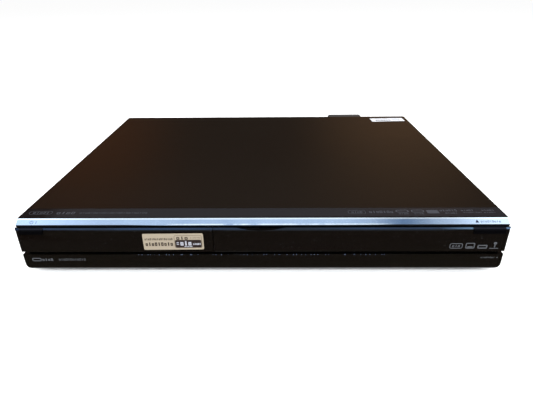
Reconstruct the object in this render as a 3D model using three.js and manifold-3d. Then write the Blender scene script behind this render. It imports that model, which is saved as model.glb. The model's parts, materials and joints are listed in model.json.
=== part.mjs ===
import * as THREE from 'three';
import { mergeVertices } from 'three/addons/utils/BufferGeometryUtils.js';
import Module from 'manifold-3d';

const wasm = await Module();
wasm.setup();

// A full-width DVD recorder with a hard disk. Millimetres: +X to the right seen from the
// front, -Y towards the viewer, +Z up. Inside the group y = 0 is the face of the two doors
// and z = 0 the table.

// Driving sizes of the case
const bodyWidth = 430;
const bodyHeight = 59;
const bodyDepth = 335;
const footHeight = 8;

// Clearances
const fit = 0.3;
const slack = 0.6;
const overcut = 1;

// Sheet metal
const sheet = 1;
const bendRadius = 2;

// Drawing steps of round shapes
const bendSteps = 4;
const cornerSteps = 3;
const fewSteps = 2;
const nutSides = 6;
const postSides = 8;
const smallSides = 10;
const midSides = 16;
const discSides = 20;
const wideSides = 30;

const half = bodyWidth / 2;
const weld = 1e-4;

// Disc drive: a plastic frame on the left, its front end just behind the front panel
const drive = {
  inset: 19,
  front: 15.6,
  length: 181,
  halfWidth: 70,
  wall: 2,
  floorBottom: 13,
  floorTop: 15,
  wallTop: 46,
  railTop: 33.5,
  railThickness: 2.2,
  railReach: 3.6,
  keeperBottom: 41.6,
  keeperThickness: 2,
  keeperReach: 2.6,
  keeperLength: 9,
  windowHalf: 28,
};
const driveCentre = drive.inset + drive.halfWidth - half;
const driveRight = driveCentre + drive.halfWidth;
const driveRear = drive.front + drive.length;
const driveFloorShare = 0.22034;
const driveLift = bodyHeight * driveFloorShare - drive.floorBottom;

// Doors: the tray's own front on the left, the pull-down flap on the right
const door = {
  bottomShare: 0.47797,
  bevelDrop: 2.4,
  topDrop: 6.8,
  bevelBack: 1.6,
  thickness: 3,
  foot: 1,
  cornerRadius: 2.6,
  seamMargin: 14.4,
  seamGap: 0.6,
  returnThickness: 2.2,
  returnDepth: 10.4,
  returnInset: 1,
  returnRise: 0.6,
};
const doorBottom = bodyHeight * door.bottomShare;
const doorTop = bodyHeight - door.topDrop;
const doorFaceTop = doorTop - door.bevelDrop;
const seam = driveRight + door.seamMargin;

// Silver bar under the cover's front edge
const bar = {
  topBack: 7.8,
  topDrop: 0.3,
  footBack: 1.5,
  footDrop: 4.8,
  thickness: 2,
  edge: 0.45,
  cornerRadius: 1,
  pegRadius: 1.2,
  pegLength: 1.6,
};

// Front panel: one moulding over the whole width
const panel = {
  hoodRear: 25,
  skin: 2.2,
  recess: 11,
  wall: 2.5,
  hoodDrop: 6,
  stripTopShare: 0.41525,
  stripBack: 1.8,
  stripRear: 14,
  stripBottom: 7,
  stripRun: 4.2,
  cornerRadius: 5.5,
};
const hoodUnder = bodyHeight - panel.hoodDrop;
const stripTop = bodyHeight * panel.stripTopShare;
const wallFront = panel.recess;
const wallRear = panel.recess + panel.wall;

// Hinge of the flap
const hinge = {
  back: 5,
  rise: 2.8,
  pinRadius: 1.5,
  play: 0.1,
  noseRadius: 3.3,
  noseGap: 0.4,
  lugWidth: 3,
  earWidth: 2.5,
  pinEnd: 0.5,
  armDrop: 1.6,
  inset: 7.2,
};
const hingeHeight = doorBottom + hinge.rise;

// Finger scoop in the flap's top edge
const scoop = { width: 44, depth: 2.2, steps: 12 };

// Power button and open/close button in the top edge of the doors, set in from the body's ends
const powerKeyInset = 4.1;
const powerKeyWidth = 21;
const powerKeyStemInset = 10;
const powerKey = {
  left: powerKeyInset - half,
  right: powerKeyInset + powerKeyWidth - half,
  stemCentre: powerKeyStemInset - half,
};
const trayKeyInset = 4.5;
const trayKeyWidth = 27.6;
const trayKeyStemInset = 18.3;
const trayKey = {
  left: half - trayKeyInset - trayKeyWidth,
  right: half - trayKeyInset,
  stemCentre: half - trayKeyStemInset,
};
const key = {
  height: 5.2,
  doorDrop: 0.2,
  proud: 0.9,
  bevelDrop: 2.1,
  bevelBack: 1.8,
  depth: 4.4,
  cornerRadius: 1.1,
  stemWidth: 5,
  stemHeight: 3.2,
  stemRise: 0.8,
  travel: 1.2,
};
const keyTop = doorTop - key.doorDrop;
const keyBottom = keyTop - key.height;
const keyStemMiddle = keyBottom + key.stemRise + key.stemHeight / 2;

// Middle height of the keys and jacks behind the flap
const bayDrop = 20.5;
const bayMiddle = bodyHeight - bayDrop;

// Camera jacks behind the flap, counted from the left one
const frontJack = {
  inset: 51,
  pitch: 12,
  count: 4,
  radius: 4.3,
  bore: 1.9,
  boreDepth: 7,
  proud: 0.8,
  blockHeight: 12,
};
const frontJackFirst = half - frontJack.inset;
const frontJackPlaces = range(frontJack.count).map((i) => frontJackFirst + i * frontJack.pitch);

// Row of keys behind the flap, left of the jacks
const smallKey = {
  width: 9,
  height: 6,
  proud: 2.8,
  rim: 1.1,
  rimThickness: 1.3,
  stem: 4,
  corner: 0.8,
  pitch: 11.6,
  jackGap: 63,
};
const smallKeyNames = ['channel_down_key', 'channel_up_key', 'stop_key', 'play_key', 'record_key'];
const smallKeyLeft = frontJackFirst - smallKey.jackGap;
const smallKeyFirst = smallKeyLeft + smallKey.width / 2;
const smallKeyPlaces = smallKeyNames.map((name, i) => smallKeyFirst + i * smallKey.pitch);

// Boards behind the front panel and the switches on them
const boardFront = 22;
const boardThickness = 1.6;
const boardSwitch = { depth: 3.5, width: 6.2, bodyShare: 0.8, stemShare: 0.52 };
const stemRear = boardFront - boardSwitch.depth - key.travel - fit;

// Memory card slot behind the flap
const cardSlot = {
  seamGap: 21.6,
  width: 30,
  height: 6.4,
  rise: 9.8,
  depth: 34,
  openWidth: 25,
  openHeight: 2.8,
  openDepth: 26,
};
const cardSlotCentre = seam + cardSlot.seamGap;
const cardSlotMiddle = doorBottom + cardSlot.rise + cardSlot.height / 2;

// Display behind the flap, between the card slot and the keys
const display = {
  cardGap: 18,
  keyGap: 9,
  rise: 4.8,
  topDrop: 5.2,
  border: 2.4,
  windowThickness: 1.5,
  tubeGap: 1.6,
  tubeThickness: 4.2,
  tubeBorder: 3,
  tubeCorner: 1,
};
const displayLeft = cardSlotCentre + display.cardGap;
const displayRight = smallKeyLeft - display.keyGap;
const displayBottom = doorBottom + display.rise;
const displayTop = doorTop - display.topDrop;

// Digital video socket, low in the bay under the card slot
const digitalPort = { width: 13, height: 5.6, rise: 1.2, depth: 14, wall: 0.9, tongue: 1.5 };
const digitalPortBottom = doorBottom + digitalPort.rise;

// Small board with the power switch and front board with the display and the sockets
const switchBoard = { width: 15, height: 14.6, post: 3.4 };
const switchPostShares = [-0.36, 0.36];
const controlBoard = { cardGap: 5, sideGap: 8, bottom: 13, notch: 8 };
const frontBoardDrop = 5;
const frontBoardTop = bodyHeight - frontBoardDrop;
const switchBoardBottom = frontBoardTop - switchBoard.height;

// Chassis pan
const pan = { bottom: 8.4, flange: 14, frontInset: 2.7, sideGap: 0.4, frontStart: 14.3 };
const panTop = pan.bottom + sheet;
const panSlot = { length: 34, width: 3, pitch: 10, count: 7 };

// Feet
const foot = {
  radius: 12,
  topRadius: 10.6,
  edge: 1,
  studRadius: 2,
  studRise: 3,
  sideShare: 0.81,
  front: 46,
  rearInset: 37,
};

// Top cover
const cover = {
  front: panel.hoodRear + fit,
  skirt: 9.6,
  lip: 9,
  slotHeight: 22,
  slotWidth: 2.6,
  slotPitch: 8,
  slotCount: 6,
  slotCentreHeight: 34,
};
const coverSlotShares = [0.34, 0.72];

// Rear panel
const rear = { front: bodyDepth - 2 * sheet - fit, topGap: 1.4, side: 1.6 };
const rearFace = rear.front + sheet;
const panelVent = { centreShare: -0.314, pitch: 5.5, count: 8, width: 2.6, bottom: 38, top: 52 };

// Disc and tray
const discRadius = 60;
const tray = {
  discBack: 72,
  halfWidth: 65.5,
  front: 3.8,
  rear: 178,
  bottom: 34,
  top: 41,
  discFloor: 37,
  smallDiscRadius: 40.6,
  smallDiscFloor: 35.8,
  slotHalf: 21,
  slotFront: 20,
  slotRear: 63,
  travel: 138,
  corner: 3,
  frontLip: 6,
  noseBottom: 35,
  noseTop: 39.8,
  noseShare: 0.86,
  hookReach: 2.6,
  hookThickness: 1.6,
  gripRadius: 12,
};

// Toothing shared by all wheels and racks
const tooth = { module: 1, tip: 0.85, root: 1.1, thin: 0.17, flank: 0.36 };
const loadWheel = { teeth: 16, lowerTeeth: 28, back: 34, bore: 2.1, postRadius: 2, upper: 2.6, lower: 3 };
const loadPinion = { teeth: 8, height: 3.4, shaftRadius: 1 };
const loadMotor = { radius: 7.6, bore: 4, flatShare: 0.84 };
const rack = { pitchLine: 58.6, back: 2.4, bottom: 30.9, front: 20, rear: 176 };

// Reader mechanism under the tray
const traverse = {
  halfWidth: 32.8,
  front: 47,
  rear: 148,
  thickness: 2,
  corner: 3,
  rodHalf: 24,
  rodHeight: 23,
  blockLength: 4,
  blockWidth: 8,
};
const rod = { radius: 1.5, play: 0.1 };
const spindle = {
  radius: 13,
  top: 26.4,
  shaftRadius: 1.1,
  shaftDepth: 4.4,
  tableRadius: 14,
  hubRadius: 7.4,
  hubEdge: 1.2,
  tableTop: 30,
  hubTop: 33.2,
};
const pickup = {
  front: 89,
  length: 20,
  halfWidth: 17,
  corner: 2,
  bottom: 19.6,
  top: 27.6,
  armShare: 0.12,
  armBottom: 20.6,
  armTop: 25.4,
  lensRadius: 4,
  lensTopRadius: 2.8,
  lensBack: 6,
  lensTop: 30.6,
  rackBack: 1.4,
  travel: 30,
};
const sled = {
  teeth: 10,
  back: 119,
  rackFace: 33.4,
  height: 2.4,
  bottom: 21.4,
  motorRadius: 5.2,
  motorBore: 3,
  shaftRadius: 0.8,
};

// Clamp over the disc
const clamp = {
  halfLength: 22,
  corner: 2,
  bottom: 46.4,
  thickness: 1.2,
  ribShare: 0.94,
  ribHeight: 3.6,
  hole: 10,
  puckRadius: 13.2,
  puckBottom: 43,
  neckRadius: 9.6,
  capRadius: 12.6,
  capThickness: 1.2,
};

// Hard disk, right of the drive
const disk = {
  driveGap: 17,
  width: 101.6,
  front: 60,
  length: 147,
  height: 26.1,
  bottom: 16.4,
  corner: 3,
  lidInset: 3,
  lidRear: 9,
  lidCorner: 6,
  lidHeight: 3,
  bayDepth: 4.8,
  bayHeight: 8.7,
  bayStartShare: 0.1,
  bayEndShare: 0.55,
};
const diskLeft = driveRight + disk.driveGap;
const diskRight = diskLeft + disk.width;
const bracket = { thickness: 1, lip: 9, tabLength: 12, startShare: 0.1, endShare: 0.9 };

// Circuit boards
const board = { standoff: 5, postRadius: 3, postInset: 6, thickness: 1.6 };
const jackBoardShare = -0.1256;
const boardLevel = panTop + board.standoff;
const partsLevel = boardLevel + board.thickness;
const boardGap = {
  side: 8,
  rear: 9,
  mainRear: 17,
  disk: 15.4,
  main: 6,
  power: 8,
  drive: 11.4,
  behindDisk: 15,
};
const mainBoard = {
  left: diskRight + boardGap.disk,
  right: half - boardGap.side,
  front: 52,
  rear: bodyDepth - boardGap.mainRear,
};
const jackBoard = {
  left: bodyWidth * jackBoardShare,
  right: mainBoard.left - boardGap.main,
  front: disk.front + disk.length + boardGap.behindDisk,
  rear: bodyDepth - boardGap.rear,
};
const powerBoard = {
  left: boardGap.side - half,
  right: jackBoard.left - boardGap.power,
  front: driveRear + boardGap.drive,
  rear: bodyDepth - boardGap.rear,
};
const mainChips = [
  { shareX: 0.2, shareY: 0.14, width: 18, depth: 18, height: 2.4 },
  { shareX: 0.55, shareY: 0.16, width: 12, depth: 20, height: 2 },
  { shareX: 0.8, shareY: 0.14, width: 12, depth: 20, height: 2 },
  { shareX: 0.2, shareY: 0.72, width: 24, depth: 8, height: 6 },
  { shareX: 0.72, shareY: 0.3, width: 9, depth: 9, height: 7 },
];
const jackChips = [
  { shareX: 0.24, shareY: 0.3, width: 16, depth: 16, height: 2.2 },
  { shareX: 0.68, shareY: 0.26, width: 10, depth: 14, height: 2 },
  { shareX: 0.46, shareY: 0.5, width: 8, depth: 8, height: 9 },
];
const powerChips = [
  { shareX: 0.12, shareY: 0.16, width: 24, depth: 14, height: 16 },
  { shareX: 0.42, shareY: 0.1, width: 18, depth: 10, height: 12 },
  { shareX: 0.9, shareY: 0.09, width: 12, depth: 8, height: 18 },
  { shareX: 0.3, shareY: 0.88, width: 10, depth: 10, height: 20 },
  { shareX: 0.42, shareY: 0.88, width: 10, depth: 10, height: 20 },
];

// Parts of the power supply, placed as shares of its board
const transformer = {
  shareX: 0.56,
  shareY: 0.52,
  width: 36,
  depth: 32,
  height: 27,
  coreDepth: 11,
  limb: 7.4,
  yoke: 5.6,
  bobbin: 2,
};
const capacitor = { shareX: 0.2414, shareY: 0.49, radius: 12.5, height: 31, groove: 0.8, neckHeight: 4 };
const sink = { rightInset: 8, width: 24, endShare: 0.2034, base: 2.4, height: 30, fin: 1.6, count: 5 };
const spreader = { shareX: 0.42, shareY: 0.45, size: 40, base: 3, height: 14, fins: 7, fin: 1.8 };

// Fan outside the rear panel
const fan = {
  centreShare: 0.2895,
  widthMargin: 4.6,
  bottom: 10.5,
  topGap: 1.6,
  depth: 18.4,
  wall: 1.8,
  corner: 3,
  play: 0.65,
  bladeGap: 1,
  frameDepth: 10,
  hubRadius: 8,
  shaftRadius: 1.1,
  blades: 7,
  bladeThickness: 1.1,
  bladeTwist: 0.62,
  bladeShare: 0.84,
  slotWidth: 2.6,
  slotPitch: 5.2,
  slotCount: 6,
  spokes: 3,
  spokeWidth: 2.4,
};
const fanCentre = bodyWidth * fan.centreShare;
const fanTop = bodyHeight - fan.topGap;
const fanWidth = fanTop - fan.bottom + fan.widthMargin;
const fanHeight = (fan.bottom + fanTop) / 2;
const fanRing = (fanTop - fan.bottom) / 2 - 2 * fan.wall - fan.play;
const bladeRadius = fanRing - fan.bladeGap;

// Sockets on the rear panel
const acInlet = {
  centreShare: -0.428,
  width: 22,
  height: 14,
  bottom: 22,
  wall: 1.8,
  depth: 22,
  proud: 2,
  flange: 4,
  flangeCorner: 2,
  mouthCorner: 1.4,
  pinGap: 8.6,
  pinRadius: 1.2,
  pinLength: 9,
};
const phono = {
  firstShare: -0.1023,
  pitchShare: 0.03256,
  radius: 4.3,
  length: 9,
  bore: 1.9,
  boreDepth: 7,
  pitchZ: 14,
  bottom: 20.5,
  columns: 4,
  rows: 2,
  block: 11,
};
const component = { firstShare: 0.0512, columns: 2 };
const hdmi = {
  centreShare: 0.1465,
  width: 15,
  height: 5.6,
  bottom: 20,
  depth: 13,
  wall: 0.8,
  tongue: 1.4,
  proud: 0.8,
};
const network = {
  centreShare: -0.2047,
  width: 16.5,
  height: 14,
  bottom: 20.5,
  depth: 20,
  opening: 11.8,
  openHeight: 8,
  latchDrop: 1.6,
  proud: 0.8,
  cut: 13,
};
const optical = {
  centreShare: 0.1465,
  width: 10.4,
  height: 10.4,
  bottom: 31,
  depth: 13,
  recess: 6,
  proud: 0.8,
  opening: 6.6,
  corner: 1.6,
};
const tuner = {
  inset: 10,
  width: 45,
  length: 65,
  bottom: 15,
  height: 30,
  sockets: 2,
  socketRadius: 4.7,
  socketLength: 10,
  bore: 2.2,
  nut: 6.6,
  nutThickness: 2,
};

// Solids from three.js geometries
function solidOf(geometry) {
  geometry.deleteAttribute('normal');
  geometry.deleteAttribute('uv');
  const merged = mergeVertices(geometry, weld);
  const points = merged.attributes.position.array;
  const faces = [];
  let volume = 0;
  for (let i = 0; i < merged.index.count; i += 3) {
    const face = [merged.index.array[i], merged.index.array[i + 1], merged.index.array[i + 2]];
    if (face[0] !== face[1] && face[1] !== face[2] && face[2] !== face[0]) {
      const corners = face.map((n) => new THREE.Vector3().fromArray(points, 3 * n));
      volume += corners[0].dot(corners[1].cross(corners[2]));
      faces.push(face);
    }
  }
  const triangles = faces.map((face) => (volume < 0 ? [face[0], face[2], face[1]] : face));
  return new wasm.Manifold(new wasm.Mesh({
    numProp: 3,
    vertProperties: new Float32Array(points),
    triVerts: new Uint32Array(triangles.flat()),
  }));
}

const xDir = new THREE.Vector3(1, 0, 0);
const yDir = new THREE.Vector3(0, 1, 0);
const zDir = new THREE.Vector3(0, 0, 1);
const turns = {
  x: new THREE.Matrix4().makeBasis(yDir, zDir, xDir),
  y: new THREE.Matrix4().makeBasis(zDir, xDir, yDir),
  z: new THREE.Matrix4().makeBasis(xDir, yDir, zDir),
};

// An outline drawn across one axis and pulled along it.
// Outlines are (y, z) across x, (x, z) across y and (x, y) across z.
function prism(axis, outline, from, to, holes = []) {
  const flip = (points) => points.map(([a, b]) => (
    axis === 'y' ? new THREE.Vector2(b, a) : new THREE.Vector2(a, b)
  ));
  const shape = new THREE.Shape(flip(outline));
  shape.holes = holes.map((hole) => new THREE.Path(flip(hole)));
  const geometry = new THREE.ExtrudeGeometry(shape, { depth: to - from, bevelEnabled: false, steps: 1 });
  geometry.translate(0, 0, from);
  geometry.applyMatrix4(turns[axis]);
  return solidOf(geometry);
}

// A box between two values on each axis, in either order
function block(x0, x1, y0, y1, z0, z1) {
  const geometry = new THREE.BoxGeometry(Math.abs(x1 - x0), y1 - y0, z1 - z0);
  geometry.translate((x0 + x1) / 2, (y0 + y1) / 2, (z0 + z1) / 2);
  return solidOf(geometry);
}

// A profile of (radius, height) turned about an axis through a centre
function turned(axis, profile, centre, sides = midSides) {
  const geometry = new THREE.LatheGeometry(profile.map(([r, h]) => new THREE.Vector2(r, h)), sides);
  const upright = new THREE.Matrix4().makeRotationX(Math.PI / 2);
  geometry.applyMatrix4(upright);
  geometry.applyMatrix4(turns[axis]);
  geometry.translate(...centre);
  return solidOf(geometry);
}

// A plain round bar between two values on its axis
function bar3(axis, radius, from, to, a, b, sides = midSides) {
  const centre = { x: [0, a, b], y: [a, 0, b], z: [a, b, 0] }[axis];
  return turned(axis, [[0, from], [radius, from], [radius, to], [0, to]], centre, sides);
}

function rectangle(a0, a1, b0, b1) {
  return [[a0, b0], [a1, b0], [a1, b1], [a0, b1]];
}

// A rectangle about a middle
function centred(a, b, width, height) {
  return rectangle(a - width / 2, a + width / 2, b - height / 2, b + height / 2);
}

// Rounds the corners of an outline, one radius for each corner
function rounded(outline, radii, steps = bendSteps) {
  const result = [];
  outline.forEach((corner, i) => {
    const radius = Array.isArray(radii) ? radii[i] : radii;
    if (!radius) {
      result.push(corner);
      return;
    }
    const count = outline.length;
    const here = new THREE.Vector2(...corner);
    const before = new THREE.Vector2(...outline[(i + count - 1) % count]).sub(here).normalize();
    const after = new THREE.Vector2(...outline[(i + 1) % count]).sub(here).normalize();
    const angle = Math.acos(before.dot(after)) / 2;
    const middle = before.clone().add(after).normalize().multiplyScalar(radius / Math.sin(angle)).add(here);
    const start = here.clone().addScaledVector(before, radius / Math.tan(angle)).sub(middle);
    const finish = here.clone().addScaledVector(after, radius / Math.tan(angle)).sub(middle);
    const turn = Math.atan2(start.cross(finish), start.dot(finish));
    for (let k = 0; k <= steps; k += 1) {
      const point = start.clone().rotateAround(new THREE.Vector2(), (turn * k) / steps).add(middle);
      result.push([point.x, point.y]);
    }
  });
  return result;
}

function circle(a, b, radius, sides = midSides) {
  return Array.from({ length: sides }, (_, i) => {
    const angle = (2 * Math.PI * i) / sides;
    return [a + radius * Math.cos(angle), b + radius * Math.sin(angle)];
  });
}

function fuse(...solids) {
  return solids.flat().reduce((whole, next) => whole.add(next));
}

function cut(whole, ...tools) {
  return tools.flat().reduce((rest, tool) => rest.subtract(tool), whole);
}

function range(count) {
  return Array.from({ length: count }, (_, i) => i);
}

function bothSides(make) {
  return [-1, 1].map(make);
}

// Places in a row with one pitch about a middle
function row(middle, pitch, count) {
  return range(count).map((i) => middle + (i - (count - 1) / 2) * pitch);
}

// The outline of a toothed wheel about (0, 0), with a tooth pointing along the first axis
function wheelOutline(teeth) {
  const pitchRadius = (tooth.module * teeth) / 2;
  const tipRadius = pitchRadius + tooth.tip * tooth.module;
  const rootRadius = pitchRadius - tooth.root * tooth.module;
  const pitchHalf = (Math.PI * tooth.module) / 4 - tooth.thin;
  const rootHalf = pitchHalf + tooth.flank * tooth.root * tooth.module;
  const tipHalf = pitchHalf - tooth.flank * tooth.tip * tooth.module;
  const flanks = [
    [rootRadius, -rootHalf], [tipRadius, -tipHalf], [tipRadius, tipHalf], [rootRadius, rootHalf],
  ];
  return range(teeth).flatMap((i) => flanks.map(([radius, arc]) => {
    const angle = (2 * Math.PI * i) / teeth + arc / radius;
    return [radius * Math.cos(angle), radius * Math.sin(angle)];
  }));
}

function turnedOutline(outline, angle) {
  const centre = new THREE.Vector2();
  return outline.map(([a, b]) => {
    const point = new THREE.Vector2(a, b).rotateAround(centre, angle);
    return [point.x, point.y];
  });
}

// The outline of a rack along y whose teeth point along x, with a gap between teeth at gapAt
function rackOutline(line, direction, from, to, gapAt, back) {
  const pitch = Math.PI * tooth.module;
  const pitchHalf = pitch / 4 - tooth.thin;
  const rootHalf = pitchHalf + tooth.flank * tooth.root * tooth.module;
  const tipHalf = pitchHalf - tooth.flank * tooth.tip * tooth.module;
  const root = line - direction * tooth.root * tooth.module;
  const tip = line + direction * tooth.tip * tooth.module;
  const first = Math.ceil((from + rootHalf - gapAt) / pitch - 1 / 2);
  const last = Math.floor((to - rootHalf - gapAt) / pitch - 1 / 2);
  const points = [[root - direction * back, from], [root, from]];
  for (let i = first; i <= last; i += 1) {
    const middle = gapAt + (i + 1 / 2) * pitch;
    points.push([root, middle - rootHalf], [tip, middle - tipHalf]);
    points.push([tip, middle + tipHalf], [root, middle + rootHalf]);
  }
  points.push([root, to], [root - direction * back, to]);
  return points;
}

// Materials
function look(color, roughness, metalness = 0) {
  return new THREE.MeshStandardMaterial({ color, roughness, metalness });
}
const paint = {
  cover: () => look('#28221c', 0.55, 0.3),
  steel: () => look('#9a9c9e', 0.35, 0.9),
  darkSteel: () => look('#55575a', 0.4, 0.85),
  gloss: () => look('#2b2a2c', 0.12),
  door: () => look('#15120f', 0.06),
  silver: () => look('#b4c8dc', 0.3, 0.7),
  key: () => look('#14161c', 0.2),
  smoked: () => look('#1c2226', 0.05),
  black: () => look('#161616', 0.55),
  grey: () => look('#4a4c50', 0.6),
  white: () => look('#d8d6cf', 0.5),
  boardGreen: () => look('#1f5a37', 0.5),
  boardBrown: () => look('#8a6a3a', 0.6),
  aluminium: () => look('#b9bcc0', 0.3, 0.95),
  copper: () => look('#a4663a', 0.35, 0.8),
  rubber: () => look('#1a1a1a', 0.85),
};

const recorder = new THREE.Group();
recorder.name = 'disc_recorder';

function geometryOf(solid) {
  const mesh = solid.getMesh();
  const geometry = new THREE.BufferGeometry();
  const positions = new Float32Array(3 * mesh.numVert);
  for (let i = 0; i < mesh.numVert; i += 1) {
    for (let k = 0; k < 3; k += 1) {
      positions[3 * i + k] = mesh.vertProperties[mesh.numProp * i + k];
    }
  }
  geometry.setAttribute('position', new THREE.BufferAttribute(positions, 3));
  geometry.setIndex(new THREE.BufferAttribute(new Uint32Array(mesh.triVerts), 1));
  return geometry;
}

function piece(parent, name, solid, material, place = [0, 0, 0]) {
  const mesh = new THREE.Mesh(geometryOf(solid), material);
  mesh.name = name;
  material.name = name;
  mesh.position.set(...place);
  parent.add(mesh);
}

function group(parent, name, place = [0, 0, 0]) {
  const node = new THREE.Group();
  node.name = name;
  node.position.set(...place);
  parent.add(node);
  return node;
}

// Silver bar: its slanted face runs from under the cover's front edge down to the doors
const barTop = new THREE.Vector2(bar.topBack, bodyHeight - bar.topDrop);
const barFoot = new THREE.Vector2(bar.footBack, bodyHeight - bar.footDrop);
const barAlong = barFoot.clone().sub(barTop).normalize();
const barInward = new THREE.Vector2(-barAlong.y, barAlong.x);
const barPegShares = [-0.42, -0.14, 0.14, 0.42];
function barPoint(end, along, inward) {
  const point = end.clone().addScaledVector(barAlong, along).addScaledVector(barInward, inward);
  return [point.x, point.y];
}
function frontPlan(front, back, radius) {
  return rounded(rectangle(-half, half, front, back), [radius, radius, 0, 0]);
}
function silverBar() {
  const outline = [
    barPoint(barTop, 0, 0), barPoint(barFoot, 0, 0),
    barPoint(barFoot, 0, bar.thickness), barPoint(barTop, 0, bar.thickness),
  ];
  const strip = prism('x', rounded(outline, [bar.edge, bar.edge, 0, 0], fewSteps), -half, half);
  const plan = frontPlan(bar.footBack, panel.hoodRear, bar.cornerRadius);
  const pegs = barPegShares.map((share) => barPeg(share, 0));
  return fuse(strip.intersect(prism('z', plan, hoodUnder - bar.thickness, bodyHeight)), pegs);
}

// Pegs that hold the bar in its seat, drawn across the slant
function barPeg(share, grow) {
  const radius = bar.pegRadius + grow;
  const length = bar.thickness + bar.pegLength + grow;
  const geometry = new THREE.CylinderGeometry(radius, radius, length, smallSides);
  const inward = new THREE.Vector3(0, barInward.x, barInward.y);
  geometry.applyQuaternion(new THREE.Quaternion().setFromUnitVectors(yDir, inward));
  const middle = barTop.clone().add(barFoot).multiplyScalar(1 / 2);
  const depth = bar.thickness / 2 + length / 2;
  middle.addScaledVector(barInward, depth);
  geometry.translate(share * bodyWidth, middle.x, middle.y);
  return solidOf(geometry);
}

// Lower front edge of the front panel, curving back towards its foot
const stripShares = [[0.02, 0.81], [0.09, 0.54], [0.23, 0.3], [0.46, 0.12], [0.74, 0.03], [1, 0]];
function stripCurve(inset) {
  const rise = stripTop - panel.stripBottom - 2 * inset;
  return stripShares.map(([run, height]) => [
    panel.stripBack + inset + run * panel.stripRun,
    panel.stripBottom + inset + height * rise,
  ]);
}

// Outline of the front panel's hood, seat of the bar and lower strip, from the top round to the foot
function panelFace() {
  const seat = bar.thickness + fit;
  const seatTop = new THREE.Vector2(...barPoint(barTop, -fit, 0));
  const topShare = (bodyHeight - seatTop.y) / -barInward.y;
  const low = new THREE.Vector2(...barPoint(barFoot, 0, seat));
  const lowShare = (hoodUnder - low.y) / -barAlong.y;
  return [
    [seatTop.x - topShare * barInward.x, bodyHeight],
    barPoint(barTop, -fit, seat),
    [low.x - lowShare * barAlong.x, hoodUnder],
    [panel.recess, hoodUnder],
    [panel.recess, stripTop],
    [panel.stripBack, stripTop],
    ...stripCurve(0),
  ];
}

function displayOutline(border) {
  return rectangle(
    displayLeft + border, displayRight - border, displayBottom + border, displayTop - border,
  );
}

// The two ends of the flap's hinge: where the lug stands and which way its pin points
const hingeEnds = bothSides((side) => {
  const edge = side < 0 ? seam + door.seamGap / 2 : half;
  return { side, lug: edge - side * hinge.inset };
});

// A round bar along x between two values in either order
function hingeBar(radius, a, b, sides = midSides) {
  return bar3('x', radius, Math.min(a, b), Math.max(a, b), hinge.back, hingeHeight, sides);
}
function hingeEar({ side, lug }) {
  const near = lug + side * (hinge.lugWidth / 2 + fit);
  const far = near + side * hinge.earWidth;
  const low = hingeHeight - hinge.armDrop;
  const arm = block(near, far, hinge.back, wallFront + fit, low, hingeHeight + hinge.noseRadius);
  const bore = hinge.pinRadius + hinge.play;
  const hole = hingeBar(bore, near - side * overcut, far + side * overcut, smallSides);
  return fuse(hingeBar(hinge.noseRadius, near, far), arm).subtract(hole);
}

function keyStem(button, grow, from, to) {
  const wide = key.stemWidth / 2 + grow;
  const tall = key.stemHeight / 2 + grow;
  const x = button.stemCentre;
  return block(x - wide, x + wide, from, to, keyStemMiddle - tall, keyStemMiddle + tall);
}

// Front panel with its hood, its wall behind the doors and its lower strip
function frontPanel() {
  const section = [
    [panel.hoodRear, bodyHeight],
    ...panelFace(),
    [panel.stripRear, panel.stripBottom],
    [panel.stripRear, panel.stripBottom + panel.skin],
    ...stripCurve(panel.skin).reverse(),
    [panel.stripBack + panel.skin, stripTop - panel.skin],
    [wallRear, stripTop - panel.skin],
    [wallRear, bodyHeight - panel.skin],
    [panel.hoodRear, bodyHeight - panel.skin],
  ];
  const cheek = [[panel.hoodRear, bodyHeight], ...panelFace(), [panel.hoodRear, panel.stripBottom]];
  const cheeks = [
    prism('x', cheek, -half, panel.skin - half),
    prism('x', cheek, half - panel.skin, half),
  ];
  const front = rectangle(-half, half, panel.stripBottom, bodyHeight);
  const corners = rounded(front, [panel.cornerRadius, panel.cornerRadius, bendRadius, bendRadius]);
  const plan = prism('z', frontPlan(bar.footBack, bodyDepth, bar.cornerRadius), 0, bodyHeight);
  const shell = fuse(prism('x', section, -half, half), cheeks)
    .intersect(prism('y', corners, -overcut, bodyDepth))
    .intersect(plan);
  const pegs = barPegShares.map((share) => barPeg(share, fit));
  const posts = switchPostShares.map((share) => {
    const x = powerKey.stemCentre + share * switchBoard.width;
    const side = switchBoard.post / 2;
    const top = switchBoardBottom + switchBoard.post;
    return block(x - side, x + side, wallRear - fit, boardFront - fit, switchBoardBottom, top);
  });
  return cut(shell, pegs, wallOpenings()).add(fuse(hingeEnds.map(hingeEar), posts));
}

// Openings in the wall: tray mouth, display, card slot, video socket, keys, jacks and key stems
function wallOpenings() {
  const through = [wallFront - overcut, wallRear + overcut];
  const opening = (x, z, width, height) => (
    prism('y', centred(x, z, width + 2 * fit, height + 2 * fit), ...through)
  );
  const trayHalf = tray.halfWidth + slack;
  const trayMouth = rectangle(
    driveCentre - trayHalf, driveCentre + trayHalf,
    driveLift + rack.bottom - slack, driveLift + tray.top + 2 * slack,
  );
  const portMiddle = digitalPortBottom + digitalPort.height / 2;
  return [
    prism('y', trayMouth, ...through),
    prism('y', displayOutline(display.border), ...through),
    prism('y', displayOutline(-fit), wallFront - overcut, wallFront + display.windowThickness + fit),
    opening(cardSlotCentre, cardSlotMiddle, cardSlot.openWidth, cardSlot.openHeight),
    opening(cardSlotCentre, portMiddle, digitalPort.width, digitalPort.height),
    ...smallKeyPlaces.map((x) => opening(x, bayMiddle, smallKey.width, smallKey.height)),
    ...frontJackPlaces.map((x) => bar3('y', frontJack.radius + fit, ...through, x, bayMiddle)),
    keyStem(powerKey, fit, ...through),
    keyStem(trayKey, fit, ...through),
  ];
}

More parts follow.
